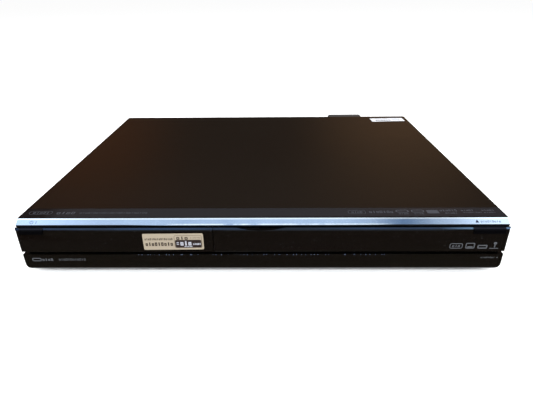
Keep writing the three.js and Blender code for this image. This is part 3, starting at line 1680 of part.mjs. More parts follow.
const sledRadius = (tooth.module * sled.teeth) / 2;
const sledPlace = { x: sled.rackFace + sledRadius, y: sled.back };
const sledMotorTop = sled.bottom - fit;
function sledGear() {
  const outline = turnedOutline(wheelOutline(sled.teeth), Math.PI);
  const shaftLow = sledMotorTop - sled.motorBore + fit;
  return prism('z', outline, sled.bottom, sled.bottom + sled.height)
    .add(bar3('z', sled.shaftRadius, shaftLow, sled.bottom + fit, 0, 0, postSides));
}

// Clamp: a bridge over the tray with a loose puck in its hole
function clampBridge() {
  const h = drive.halfWidth;
  const front = tray.discBack - clamp.halfLength;
  const back = tray.discBack + clamp.halfLength;
  const outline = rounded(rectangle(-h, h, front, back), clamp.corner, fewSteps);
  const hole = circle(0, tray.discBack, clamp.hole, discSides).reverse();
  const ribHalf = h * clamp.ribShare;
  const ribs = [front, back - clamp.thickness].map((y) => block(
    -ribHalf, ribHalf, y, y + clamp.thickness, clamp.bottom, clamp.bottom + clamp.ribHeight,
  ));
  return fuse(prism('z', outline, clamp.bottom, clamp.bottom + clamp.thickness, [hole]), ribs);
}
function clampPuck() {
  const { puckRadius: p, puckBottom, neckRadius: n, capRadius: c, bottom, thickness } = clamp;
  const above = bottom + thickness + fit;
  const top = above + clamp.capThickness;
  return turned('z', [
    [0, puckBottom], [p - fit, puckBottom], [p, puckBottom + fit], [p, bottom - fit], [n, bottom - fit],
    [n, above], [c, above], [c, top], [0, top],
  ], [0, 0, 0], discSides);
}

// Assembly. The origin is the middle of the base, so the recorder is moved forward by half of
// what it measures.
const rearMost = bodyDepth + fit + fan.depth;
const frontMost = -key.proud;
const caseGroup = group(recorder, 'case_and_front', [0, -(rearMost + frontMost) / 2, 0]);

piece(caseGroup, 'front_panel', frontPanel(), paint.gloss());
piece(caseGroup, 'silver_bar', silverBar(), paint.silver());
piece(caseGroup, 'tray_front', trayFront(), paint.door());
piece(caseGroup, 'front_flap', frontFlap(), paint.door());
piece(caseGroup, 'power_key', topKey(powerKey), paint.key());
piece(caseGroup, 'open_close_key', topKey(trayKey), paint.key());
smallKeyNames.forEach((name, i) => {
  piece(caseGroup, name, smallKeySolid(), paint.grey(), [smallKeyPlaces[i], 0, bayMiddle]);
});
piece(caseGroup, 'power_switch_board', powerSwitchBoard(), paint.boardBrown());
piece(caseGroup, 'control_board', controlBoardSolid(), paint.boardBrown());
piece(caseGroup, 'display_window', displayWindow(), paint.smoked());
piece(caseGroup, 'display_tube', displayTube(), paint.grey());
piece(caseGroup, 'front_jacks', frontJacks(), paint.black());
piece(caseGroup, 'card_slot', cardSlotSolid(), paint.steel());
piece(caseGroup, 'digital_port', digitalPortSolid(), paint.steel());
piece(caseGroup, 'chassis', chassis(), paint.steel());
piece(caseGroup, 'rear_panel', rearPanel(), paint.steel());
piece(caseGroup, 'top_cover', topCover(), paint.cover());
const footNames = ['foot_front_left', 'foot_front_right', 'foot_rear_left', 'foot_rear_right'];
footNames.forEach((name, i) => {
  piece(caseGroup, name, footSolid(), paint.rubber(), [...footPlaces[i], 0]);
});

const driveGroup = group(caseGroup, 'disc_drive', [driveCentre, 0, driveLift]);
const spindlePlace = [0, tray.discBack, 0];
piece(driveGroup, 'drive_base', driveBase(), paint.black());
piece(driveGroup, 'disc_tray', discTray(), paint.black());
piece(driveGroup, 'loading_gear', loadGear(), paint.white(), [loadGearPlace.x, loadGearPlace.y, 0]);
piece(driveGroup, 'loading_pinion', loadPinionSolid(), paint.white(), [pinionPlace.x, pinionPlace.y, 0]);
piece(
  driveGroup, 'loading_motor',
  motorCan(
    loadMotor.radius, drive.floorTop + fit, loadMotorTop,
    loadMotor.bore, loadPinion.shaftRadius, loadMotor.flatShare,
  ),
  paint.steel(), [pinionPlace.x, pinionPlace.y, 0],
);
piece(driveGroup, 'traverse_frame', traverseFrame(), paint.darkSteel());
['left', 'right'].forEach((side, i) => {
  const place = [(2 * i - 1) * traverse.rodHalf, 0, traverse.rodHeight];
  piece(driveGroup, `guide_rod_${side}`, guideRod(), paint.aluminium(), place);
});
piece(driveGroup, 'spindle_motor', spindleMotor(), paint.steel(), spindlePlace);
piece(driveGroup, 'turntable', turntableSolid(), paint.black(), spindlePlace);
piece(driveGroup, 'pickup', pickupSolid(), paint.darkSteel());
piece(
  driveGroup, 'sled_motor',
  motorCan(sled.motorRadius, drive.floorTop + fit, sledMotorTop, sled.motorBore, sled.shaftRadius, 1),
  paint.steel(), [sledPlace.x, sledPlace.y, 0],
);
piece(driveGroup, 'sled_gear', sledGear(), paint.white(), [sledPlace.x, sledPlace.y, 0]);
piece(driveGroup, 'clamp_bridge', clampBridge(), paint.steel());
piece(driveGroup, 'clamp_puck', clampPuck(), paint.black(), spindlePlace);

piece(caseGroup, 'hard_disk', hardDisk(), paint.aluminium());
piece(caseGroup, 'disk_bracket', diskBracket(), paint.steel());
piece(caseGroup, 'power_board', boardSolid(powerBoard, powerChips), paint.boardBrown());
piece(caseGroup, 'main_board', boardSolid(mainBoard, mainChips), paint.boardGreen());
piece(caseGroup, 'jack_board', boardSolid(jackBoard, jackChips), paint.boardGreen());
piece(caseGroup, 'transformer', transformerSolid(), paint.copper());
piece(caseGroup, 'main_capacitor', capacitorSolid(), paint.black());
piece(caseGroup, 'heat_sink', heatSink(), paint.aluminium());
piece(caseGroup, 'heat_spreader', spreaderSolid(), paint.aluminium());
piece(caseGroup, 'ac_inlet', acInletSolid(), paint.black());
piece(caseGroup, 'audio_video_jacks', phonoBlock(phonoPlaces), paint.black());
piece(caseGroup, 'component_jacks', phonoBlock(componentPlaces), paint.black());
piece(caseGroup, 'display_socket', hdmiSocket(), paint.steel());
piece(caseGroup, 'network_socket', networkSocket(), paint.steel());
piece(caseGroup, 'optical_socket', opticalSocket(), paint.black());
piece(caseGroup, 'tuner', tunerBox(), paint.steel());
piece(caseGroup, 'fan_housing', fanHousing(), paint.darkSteel());
const fanGroup = group(caseGroup, 'fan', [fanCentre, fanFront, fanHeight]);
piece(fanGroup, 'fan_frame', fanFrame(), paint.black());
piece(fanGroup, 'fan_rotor', fanRotor(), paint.grey());

export default recorder;
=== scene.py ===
import json
import math

import bmesh
import bpy
from mathutils import Matrix, Vector

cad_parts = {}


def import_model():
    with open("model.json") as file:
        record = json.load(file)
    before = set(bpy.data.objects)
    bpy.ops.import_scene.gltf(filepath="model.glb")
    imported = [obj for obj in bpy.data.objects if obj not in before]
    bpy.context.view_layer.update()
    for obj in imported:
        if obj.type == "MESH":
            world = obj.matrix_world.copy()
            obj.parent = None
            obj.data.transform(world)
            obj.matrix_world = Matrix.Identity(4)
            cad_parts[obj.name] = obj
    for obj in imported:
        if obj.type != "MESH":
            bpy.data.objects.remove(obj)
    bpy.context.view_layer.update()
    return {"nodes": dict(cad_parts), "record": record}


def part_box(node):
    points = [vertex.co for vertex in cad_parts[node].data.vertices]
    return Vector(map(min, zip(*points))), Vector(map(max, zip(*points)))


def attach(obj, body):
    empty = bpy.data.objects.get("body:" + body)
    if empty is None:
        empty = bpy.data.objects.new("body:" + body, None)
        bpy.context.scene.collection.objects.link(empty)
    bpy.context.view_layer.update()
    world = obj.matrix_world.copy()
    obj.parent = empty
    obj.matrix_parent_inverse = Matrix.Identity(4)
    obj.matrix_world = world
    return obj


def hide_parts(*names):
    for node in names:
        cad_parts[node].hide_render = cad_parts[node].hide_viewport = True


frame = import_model()
nodes = frame["nodes"]
bodyOf = {n: b for b, ns in frame["record"]["behaviour"]["bodies"].items() for n in ns}
mm = 0.001

# The door face and the top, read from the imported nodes, so that every piece follows them
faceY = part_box("front_flap")[0].y
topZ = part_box("top_cover")[1].z
print("frame loaded:", len(nodes), "nodes")


def at(x, y, z):  # millimetres: x from the middle, y behind the door face, z over the table
    return Vector((x * mm, faceY + y * mm, z * mm))


def addObject(name, data):
    made = bpy.data.objects.new(name, data)
    bpy.context.scene.collection.objects.link(made)
    return made


# Camera
cameraPlace = {
    "spot": at(10.24, -319.54, 236.45),  # found by fitting the edges of the case to the photograph
    "yaw": 0.895, "pitch": 26.155, "roll": 0.575, "lens": 28.87, "sensor": 36, "nearest": 0.01, "farthest": 200,
}


def addCamera(d):
    data = bpy.data.cameras.new("photoCamera")
    data.lens = d["lens"]
    data.sensor_width = d["sensor"]
    data.clip_start = d["nearest"]
    data.clip_end = d["farthest"]
    made = addObject("photoCamera", data)
    yaw, pitch, roll = (math.radians(d[k]) for k in ("yaw", "pitch", "roll"))
    turn = Matrix.Rotation(yaw, 4, "Z") @ Matrix.Rotation(math.pi / 2 - pitch, 4, "X") @ Matrix.Rotation(-roll, 4, "Z")
    made.matrix_world = Matrix.Translation(d["spot"]) @ turn
    bpy.context.scene.camera = made


addCamera(cameraPlace)


# Shader maths: a wire is one socket, and sums on it add Math nodes
def maths(operation, swapped=False):
    def run(wire, *others):
        terms = (*others, wire) if swapped else (wire, *others)
        return wire.finish.node("ShaderNodeMath", {"operation": operation}, dict(enumerate(terms)))
    return run


class Wire:
    __add__ = __radd__ = maths("ADD")
    __mul__ = __rmul__ = maths("MULTIPLY")
    __sub__, __rsub__ = maths("SUBTRACT"), maths("SUBTRACT", True)
    __gt__, __lt__ = maths("GREATER_THAN"), maths("LESS_THAN")
    atMost, atLeast, abs = maths("MINIMUM"), maths("MAXIMUM"), maths("ABSOLUTE")

    def __init__(self, finish, socket):
        self.finish = finish
        self.socket = socket

    def clamp(self):
        return self.atMost(1).atLeast(0)

    def ramp(self, low, high):  # 0 at low, 1 at high
        return ((self - low) * (1 / (high - low))).clamp()


class Finish:
    def __init__(self, name, color, rough, metal=0, coat=0, coatRough=0.05, specular=0.5):
        self.mat = bpy.data.materials.new(name)
        self.mat.use_nodes = True
        self.mat.diffuse_color = (*color, 1)
        self.tree = self.mat.node_tree
        self.shader = self.tree.nodes["Principled BSDF"]
        self.put("Base Color", (*color, 1))
        self.put("Roughness", rough)
        self.put("Metallic", metal)
        self.put("Coat Weight", coat)
        self.put("Coat Roughness", coatRough)
        self.put("Specular IOR Level", specular)

    def node(self, kind, settings, values, out=0):
        made = self.tree.nodes.new(kind)
        for key, value in settings.items():
            setattr(made, key, value)
        for key, value in values.items():
            self.join(made.inputs[key], value)
        return Wire(self, made.outputs[out])

    def join(self, socket, value):
        if isinstance(value, Wire):
            self.tree.links.new(value.socket, socket)
        else:
            socket.default_value = value

    def put(self, name, value):
        self.join(self.shader.inputs[name], value)

    def place(self, scale=(1, 1, 1), shift=(0, 0, 0)):
        spot = self.node("ShaderNodeTexCoord", {}, {}, "Object")
        return self.node("ShaderNodeMapping", {}, {"Vector": spot, "Location": shift, "Scale": scale})

    def axis(self, name):
        spot = self.node("ShaderNodeTexCoord", {}, {}, "Object")
        return self.node("ShaderNodeSeparateXYZ", {}, {"Vector": spot}, name)

    def noise(self, scale, detail=3, rough=0.55, stretch=(1, 1, 1), shift=(0, 0, 0)):
        return self.node("ShaderNodeTexNoise", {}, {
            "Vector": self.place(stretch, shift), "Scale": scale, "Detail": detail, "Roughness": rough,
        })

    def blend(self, amount, first, second):
        made = self.tree.nodes.new("ShaderNodeMix")
        made.data_type = "RGBA"
        for key, value in {"Factor": amount, "A": self.shade(first), "B": self.shade(second)}.items():
            self.join([s for s in made.inputs if s.name == key and s.enabled][0], value)
        return Wire(self, [s for s in made.outputs if s.enabled][0])

    def shade(self, value):
        return value if isinstance(value, Wire) else (*value[:3], 1)

    def bump(self, height, strength, distance):
        self.put("Normal", self.node("ShaderNodeBump", {}, {
            "Height": height, "Strength": strength, "Distance": distance,
        }))


def srgb(r, g, b):
    def one(v):
        v /= 255
        return v / 12.92 if v <= 0.04045 else ((v + 0.055) / 1.055) ** 2.4
    return (one(r), one(g), one(b))


def darker(color, share):
    return tuple(c * share for c in color)


# Levels that the finishes and the marks share: millimetres, depths behind the door face
frontLevels = {
    "doorFaceTop": 49.8, "stripTop": 24.5, "stripBack": 1.8, "wallFront": 9, "wallFace": 11,
    "barFoot": 54.2, "barFootBack": 1.5, "barSlope": (0.581, 0.814), "rear": 333.7, "base": 8.4,
}


# Finishes of the front and the case
def coverPaint(d):
    f = Finish("coverPaint", d["color"], d["rough"], specular=d["specular"])
    cloud = f.noise(d["cloud"], 3)
    speck = f.noise(d["grain"], 2)
    worn = f.noise(d["worn"], 5, 0.7)
    tone = f.blend(cloud.ramp(0.35, 0.7), darker(d["color"], 0.88), d["color"])
    f.put("Base Color", f.blend(speck.ramp(0.62, 0.8) * 0.25, tone, d["dust"]))
    f.put("Roughness", cloud * 0.05 + speck * 0.1 + worn * 0.06 + (d["rough"] - 0.1))
    f.bump(speck, 0.35, d["grainDepth"])
    return f.mat


def span(wire, ends):  # 0 at the first of two millimetre places, 1 at the second
    return wire.ramp(ends[0] * mm, ends[1] * mm)


def dots(f, across, count, width):  # a row of small bright dots along x: painted glints on the door's bevel edge and the strip's top edge
    near = f.node("ShaderNodeTexVoronoi", {"voronoi_dimensions": "1D"}, {"W": across, "Scale": count}, "Distance")
    return (near < width) * f.noise(55, 2, 0.5, (1, 0.1, 0.1)).ramp(0.38, 0.6)


def doorBlack(d):
    f = Finish("doorBlack", d["color"], d["rough"], coatRough=0.04, specular=d["specular"])
    height, depth, across = f.axis("Z"), f.axis("Y"), f.axis("X")
    smear = f.noise(9, 4, 0.6, (1, 1, 4))
    faceTop = frontLevels["doorFaceTop"] * mm
    above = height > faceTop + d["bevelFrom"] * mm
    bevel = above * (depth < faceY + d["bevelBack"] * mm)
    # The flap's top behind the bevel, under the bar, gets the near-black ledge colour: painted shade.
    ledge = above * (1 - bevel)
    inside = ((depth > faceY + d["skin"] * mm) + ledge).clamp()
    # The bevel's colour is a painted blue reflection: a band that varies along x, with a paler painted sky reflection
    # toward the right end.
    band = f.noise(7, 3, 0.6, (1, 0.1, 0.1), (0.31, 0, 0))
    blue = f.blend(band.ramp(0.36, 0.66), d["bevelDark"], d["bevelPale"])
    blue = f.blend(span(across, d["rightSky"]) * 0.7, blue, d["sky"])
    glint = dots(f, across, 330, 0.12) * (across.abs() < d["glintSpan"] * mm)
    edge = (height - faceTop - d["glintRise"] * mm).abs() < d["glintHalf"] * mm
    face = f.blend(f.noise(700, 1).ramp(0.74, 0.82) * 0.4, d["color"], d["dust"])
    body = f.blend(bevel, face, f.blend(glint * edge * 0.35, blue, d["glint"]))
    f.put("Base Color", f.blend(ledge, f.blend(inside, body, d["inside"]), d["ledge"]))
    f.put("Coat Weight", bevel * 0.35)
    f.put("Roughness", smear.ramp(0.4, 0.75) * 0.06 + inside * 0.36 + d["rough"])
    f.bump(f.noise(1400, 2) * inside, 0.3, d["grainDepth"])
    return f.mat


def frontMoulding(d):
    f = Finish("frontMoulding", d["strip"], 0.2, coatRough=0.05, specular=d["specular"])
    height, depth, across = f.axis("Z"), f.axis("Y"), f.axis("X")
    stripTop = frontLevels["stripTop"]
    smear = f.noise(12, 3)

    def before(level):
        return depth < faceY + level * mm

    def behind(level):
        return depth > faceY + level * mm

    hood = (height > topZ - d["hoodDrop"] * mm) * behind(d["hoodBack"])
    inside = behind(frontLevels["wallFront"]) * (height < topZ - d["wallDrop"] * mm)
    stripFront = (height < (stripTop + d["stripOver"]) * mm) * before(d["stripBack"])
    ledge = (height > (stripTop - d["ledgeDrop"]) * mm) * behind(d["ledgeBack"])
    seam = before(d["seamBack"]) * hood
    rim = ((height - (stripTop - d["rimDrop"]) * mm).abs() < d["rimHalf"] * mm) * before(d["rimBack"])
    sparks = dots(f, across, 240, 0.07) * rim * (across.abs() < d["sparkSpan"] * mm)
    # A warm band along the strip's lower front edge is a painted reflection of the floor.
    foot = (1 - span(height, d["foot"])) * before(d["footBack"])
    strip = f.blend(foot * 0.8, f.blend(sparks * 0.4, d["strip"], d["spark"]), d["footTone"])
    left = 1 - span(across, d["leftEnd"])
    shell = f.blend(left, f.blend(smear.ramp(0.3, 0.7), darker(d["hood"], 0.9), d["hood"]), d["hoodEnd"])
    # Parts of the moulding outside the hood, the inner walls and the strip's front, such as the groove under the doors
    # and the strip's top behind its edge, get a near-black painted shade.
    tone = f.blend(inside, f.blend(stripFront * (1 - ledge), d["hidden"], strip), d["inside"])
    f.put("Base Color", f.blend(seam, f.blend(hood, tone, shell), d["seam"]))
    f.put("Coat Weight", hood * (1 - seam) * (0.5 - left * 0.4))
    f.put("Roughness", inside * 0.35 + smear * 0.08 + (1 - hood) * 0.06 + 0.12)
    f.bump(f.noise(1500, 2) * inside, 0.3, d["grainDepth"])
    return f.mat


def barSilver(d):
    f = Finish("barSilver", d["color"], d["rough"], d["metal"], specular=0.3)
    height, depth, across = f.axis("Z"), f.axis("Y"), f.axis("X")
    sine, cosine = frontLevels["barSlope"]
    back = depth - (faceY + frontLevels["barFootBack"] * mm)
    rise = height - frontLevels["barFoot"] * mm
    out = rise * cosine - back * sine        # 0 on the painted face, negative below it
    along = back * cosine + rise * sine      # 0 at the foot of the face
    ends = span(across.abs(), d["ends"])
    # Outside this mask the bar is bare black plastic; the dark bands the mask leaves at the foot of the face, wider
    # toward the ends, and along its top are painted shade.
    painted = (out > -d["skin"] * mm) * (along > d["low"] * mm + ends * d["lowMore"] * mm) * (along < d["high"] * mm)
    cloud = f.noise(d["cloud"], 3, 0.55, (1, 0.12, 0.12))
    fine = f.noise(d["cloud"] * 5, 2, 0.5, (1, 0.1, 0.1))
    flake = f.noise(2600, 1)

    def near(wire, spot, full, none):  # 1 within full of a spot, 0 beyond none
        return 1 - span((wire - spot * mm).abs(), (full, none))

    lowLine = near(along, *d["lowLine"])
    highLine = span(along, d["highLine"])
    middle = near(across, *d["middle"]) * fine.ramp(0.3, 0.55)
    # The face's colours are painted reflection and painted highlights: cloudy bands along x, a darker reflection near x
    # 124 mm, a brighter right end, a bright line at the foot strongest in the middle and one along the top; their blue
    # tint is part of the painted reflection.
    face = f.blend(cloud.ramp(0.32, 0.68) * 0.8 + fine.ramp(0.4, 0.7) * 0.2, d["deep"], d["color"])
    face = f.blend(near(across, *d["dipSpan"]) * 0.75, face, d["dip"])
    face = f.blend(span(across, d["right"]) * 0.4, face, d["bright"])
    face = f.blend((lowLine * (middle * 1.1 + 0.05) + highLine * 0.95).clamp(), face, d["bright"])
    f.put("Base Color", f.blend(painted, d["bare"], face))
    f.put("Metallic", painted * d["metal"])
    f.put("Roughness", flake * 0.1 + cloud * 0.06 + (1 - painted) * 0.2 + d["rough"] - 0.08)
    f.bump(flake, 0.15, d["grainDepth"])
    return f.mat


def keyBlack(d):
    f = Finish("keyBlack", d["color"], 0.14, coatRough=0.05, specular=0.03)
    ledge = f.axis("Z") > d["ledgeFrom"] * mm
    wear = f.noise(60, 4)
    fine = f.noise(1200, 1)
    # The key's top gets the ledge colour, a painted blue reflection mottled by the wear noise.
    worn = f.blend(wear.ramp(0.3, 0.7), darker(d["ledge"], 0.7), d["ledge"])
    f.put("Base Color", f.blend(ledge, d["color"], worn))
    f.put("Roughness", wear * 0.08 + fine * 0.04 + 0.1)
    return f.mat


# Finishes of sheet metal, plastic, boards and labels
def rolledSheet(name, color, rough, cells=160, metal=0.9):
    f = Finish(name, color, rough, metal)
    grains = f.node("ShaderNodeTexVoronoi", {}, {"Vector": f.place(), "Scale": cells}, "Color")
    tone = f.node("ShaderNodeSeparateColor", {}, {"Color": grains}, 0)
    rolled = f.noise(40, 3, 0.6, (1, 14, 1))
    stain = f.noise(7, 4, 0.65)
    f.put("Base Color", f.blend(tone * 0.35 + stain.ramp(0.45, 0.8) * 0.25, color, darker(color, 0.68)))
    f.put("Roughness", rolled * 0.16 + tone * 0.06 + (rough - 0.1))
    f.bump(rolled, 0.15, 0.00002)
    return f.mat


def moulded(name, color, rough, grain=1500, specular=0.4):
    f = Finish(name, color, rough, specular=specular)
    speck = f.noise(grain, 2)
    cloud = f.noise(18, 2)
    f.put("Base Color", f.blend(cloud, darker(color, 0.85), color))
    f.put("Roughness", speck * 0.14 + cloud * 0.05 + (rough - 0.08))
    f.bump(speck, 0.4, 0.00004)
    return f.mat


def glossy(name, color, rough, specular=0.5):
    f = Finish(name, color, rough, specular=specular)
    smear = f.noise(14, 4, 0.6)
    dust = f.noise(900, 1)
    f.put("Base Color", f.blend(dust.ramp(0.74, 0.82) * 0.3, color, srgb(80, 80, 82)))
    f.put("Roughness", smear.ramp(0.4, 0.75) * 0.1 + rough)
    return f.mat


def brushed(name, color, rough, stretch, metal=0.95):
    f = Finish(name, color, rough, metal)
    lines = f.noise(220, 3, 0.6, stretch)
    f.put("Base Color", f.blend(lines, darker(color, 0.8), color))
    f.put("Roughness", lines * 0.2 + (rough - 0.08))
    f.bump(lines, 0.2, 0.00002)
    return f.mat


def laminate(name, color, trace, pad):  # a circuit board with its lanes and solder spots
    f = Finish(name, color, 0.42, coat=0.2)
    lanes = f.node("ShaderNodeTexBrick", {"offset": 0.5}, {
        "Vector": f.place((150, 150, 150)), "Color1": (0, 0, 0, 1), "Color2": (0.25, 0.25, 0.25, 1),
        "Mortar": (1, 1, 1, 1), "Mortar Size": 0.03,
    })
    tone = f.node("ShaderNodeSeparateColor", {}, {"Color": lanes}, 0)
    pads = f.node("ShaderNodeTexVoronoi", {}, {"Vector": f.place(), "Scale": 260}, "Distance")
    solder = pads < 0.16
    f.put("Base Color", f.blend(solder, f.blend(tone, color, trace), pad))
    f.put("Roughness", 0.5 - tone * 0.2 - solder * 0.15)
    f.put("Metallic", solder * 0.7)
    return f.mat


def printed(name, color, rough=0.5, specular=0.2):
    f = Finish(name, color, rough, specular=specular)
    ink = f.noise(1400, 2)
    f.put("Base Color", f.blend(ink, darker(color, 0.9), color))
    f.put("Roughness", ink * 0.12 + (rough - 0.06))
    return f.mat


finishes = {
    "cover": coverPaint({
        "color": srgb(15, 9, 5), "dust": srgb(44, 40, 36), "rough": 0.36, "specular": 0.3,
        "cloud": 4, "worn": 26, "grain": 2600, "grainDepth": 0.00002,
    }),
    "door": doorBlack({
        # the ledge colour is painted shade on the flap's top under the bar
        "color": srgb(7, 5, 4), "dust": srgb(70, 70, 72), "inside": srgb(20, 20, 21), "ledge": srgb(4, 4, 6),
        # the bevel colours and the sky colour are a painted reflection
        "bevelDark": srgb(5, 7, 12), "bevelPale": srgb(18, 30, 50), "sky": srgb(62, 84, 104),
        "glint": srgb(205, 215, 228), "rough": 0.08, "specular": 0.28, "grainDepth": 0.00003,
        "bevelFrom": 0.9, "bevelBack": 1.5, "skin": 2.4, "rightSky": (155, 180),
        "glintSpan": 32, "glintRise": 0.6, "glintHalf": 0.3,
    }),
    "front": frontMoulding({
        # the warm foot colour is a painted reflection of the floor
        "strip": srgb(8, 6, 4), "footTone": srgb(86, 74, 60), "spark": srgb(140, 158, 195),
        "hood": srgb(27, 28, 32), "hoodEnd": srgb(10, 10, 13), "seam": srgb(5, 5, 8),
        # the near-black colour for the grooves is painted shade
        "inside": srgb(27, 28, 30), "hidden": srgb(2, 2, 2), "specular": 0.3, "grainDepth": 0.00003,
        "hoodDrop": 2.4, "hoodBack": 7.4, "wallDrop": 5.6, "stripOver": 0.05, "stripBack": 8,
        "ledgeDrop": 0.2, "ledgeBack": 2.25, "seamBack": 8.7, "rimDrop": 0.25, "rimHalf": 0.35, "rimBack": 2.4,
        "sparkSpan": 112, "foot": (8.2, 10.5), "footBack": 2.6, "leftEnd": (-194, -176),
    }),
    # the bar's face colours are painted reflection and painted highlights
    "silver": barSilver({
        "color": srgb(164, 188, 218), "deep": srgb(148, 173, 207), "bright": srgb(222, 240, 255),
        "dip": srgb(88, 124, 170), "bare": srgb(9, 9, 12), "rough": 0.17, "metal": 0.9, "cloud": 22,
        "grainDepth": 0.00001, "skin": 0.42, "low": 0.45, "lowMore": 0.5, "high": 7.4, "ends": (88, 118),
        "lowLine": (1.2, 0.2, 0.8), "highLine": (5.8, 6.4), "middle": (16, 84, 100), "dipSpan": (124, 2, 26),
        "right": (150, 200),
    }),
    # the key's ledge colour is a painted reflection
    "key": keyBlack({"color": srgb(3, 3, 4), "ledge": srgb(20, 22, 28), "ledgeFrom": 51}),
    "zinc": rolledSheet("zincSteel", srgb(172, 174, 176), 0.36),
    "darkSteel": rolledSheet("darkSteel", srgb(96, 97, 100), 0.4),
    "moulded": moulded("mouldedBlack", srgb(24, 24, 25), 0.5),
    "tray": moulded("trayBlack", srgb(30, 30, 31), 0.42, 1100),
    "duct": moulded("ductGrey", srgb(58, 58, 59), 0.5, 1200),
    "greyPlastic": moulded("greyPlastic", srgb(84, 86, 90), 0.45, 900),
    "whitePlastic": moulded("whitePlastic", srgb(206, 203, 192), 0.42, 700),
    "rubber": moulded("rubberFoot", srgb(20, 20, 20), 0.78, 500, 0.25),
    "smoked": glossy("smokedWindow", srgb(12, 15, 18), 0.05),
    "tube": glossy("displayGlass", srgb(38, 42, 46), 0.12),
    "aluminium": brushed("rolledAluminium", srgb(190, 193, 197), 0.32, (1, 12, 1)),
    "polished": brushed("polishedRod", srgb(205, 206, 208), 0.16, (1, 0.2, 1)),
    "greenBoard": laminate("greenBoard", srgb(20, 74, 44), srgb(52, 122, 78), srgb(190, 176, 120)),
    "brownBoard": laminate("brownBoard", srgb(142, 104, 56), srgb(166, 130, 80), srgb(196, 186, 160)),
    "copper": brushed("lacqueredCopper", srgb(176, 104, 60), 0.3, (1, 1, 14)),
    "nickel": brushed("nickelPlate", srgb(196, 194, 188), 0.2, (1, 1, 1)),
    "gold": brushed("goldPlate", srgb(214, 172, 96), 0.22, (1, 1, 1)),
    "blackScrew": brushed("blackenedScrew", srgb(44, 44, 46), 0.34, (1, 1, 1), 0.8),
}
inks = {
    "cream": printed("creamLabel", srgb(134, 124, 108), 0.42),
    "white": printed("whiteLabel", srgb(205, 208, 214), 0.5),
    "brown": printed("brownInk", srgb(40, 28, 22), 0.55),
    "boxDark": printed("boxInk", srgb(34, 24, 22), 0.45),
    "boxPale": printed("boxPaleInk", srgb(150, 152, 160), 0.5),
    "grey": printed("greyInk", srgb(66, 68, 72), 0.45),
    "faint": printed("faintInk", srgb(54, 56, 62), 0.4),
    "pale": printed("paleInk", srgb(150, 152, 156), 0.4),
    "barMark": printed("barInk", srgb(66, 78, 108), 0.4),
    "signMark": printed("signInk", srgb(28, 33, 56), 0.4),
    "panelDark": printed("panelInk", srgb(30, 32, 34), 0.55),
    "yellow": moulded("yellowRing", srgb(214, 176, 30), 0.4),
    "red": moulded("redRing", srgb(176, 34, 30), 0.4),
    "jackWhite": moulded("whiteRing", srgb(206, 204, 198), 0.4),
    "green": moulded("greenRing", srgb(40, 120, 62), 0.4),
    "blue": moulded("blueRing", srgb(40, 72, 150), 0.4),
    "amber": glossy("amberLamp", srgb(190, 120, 30), 0.2),
}
print("finishes made:", len(finishes) + len(inks))

# What each CAD node is made of
nodeFinishes = {
    "front": "front_panel",
    "silver": "silver_bar",
    "door": "tray_front front_flap",
    "key": "power_key open_close_key",
    "cover": "top_cover",
    "zinc": "card_slot digital_port chassis rear_panel loading_motor spindle_motor sled_motor clamp_bridge"
            " disk_bracket",
    "darkSteel": "traverse_frame pickup",
    "polished": "guide_rod_left guide_rod_right",
    "aluminium": "hard_disk heat_sink heat_spreader",
    "nickel": "display_socket network_socket tuner",
    "copper": "transformer",
    "moulded": "front_jacks drive_base turntable clamp_puck main_capacitor ac_inlet audio_video_jacks component_jacks"
               " optical_socket fan_frame",
    "tray": "disc_tray",
    "duct": "fan_housing",
    "greyPlastic": "fan_rotor channel_down_key channel_up_key stop_key play_key record_key",
    "whitePlastic": "loading_gear loading_pinion sled_gear",
    "rubber": "foot_front_left foot_front_right foot_rear_left foot_rear_right",
    "smoked": "display_window",
    "tube": "display_tube",
    "brownBoard": "power_switch_board control_board power_board",
    "greenBoard": "main_board jack_board",
}
finishOf = {name: kind for kind, names in nodeFinishes.items() for name in names.split()}
for name, node in nodes.items():
    node.data.materials.clear()
    node.data.materials.append(finishes[finishOf[name]])
print("CAD nodes painted")


# Pieces are built in place, in metres, with their object at the origin
def addMesh(name, bm, material):
    mesh = bpy.data.meshes.new(name)
    bm.to_mesh(mesh)
    bm.free()
    mesh.materials.append(material)
    return addObject(name, mesh)


def finishPiece(name, bm, material, slotName, smooth=None):
    body = bodyOf[slotName]
    bmesh.ops.remove_doubles(bm, verts=bm.verts, dist=1e-7)
    bmesh.ops.recalc_face_normals(bm, faces=bm.faces)
    made = addMesh(name, bm, material)
    if smooth:
        made.data.polygons.foreach_set("use_smooth", [True] * len(made.data.polygons))
        made.data.set_sharp_from_angle(angle=math.radians(smooth))
    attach(made, body)
    return made


# A copy of a CAD node with merged faces and softened edges stands for the node
softShape = {
    "segments": 3, "angle": 28, "smooth": 32, "flat": 0.5, "merge": 2e-6,
    "barShare": 0.9937,  # the bar's ends stay clear of the moulding's dark ends
    "gearRoom": 0.02,    # room for the gear's flat-sided bore and its teeth at every turn
}


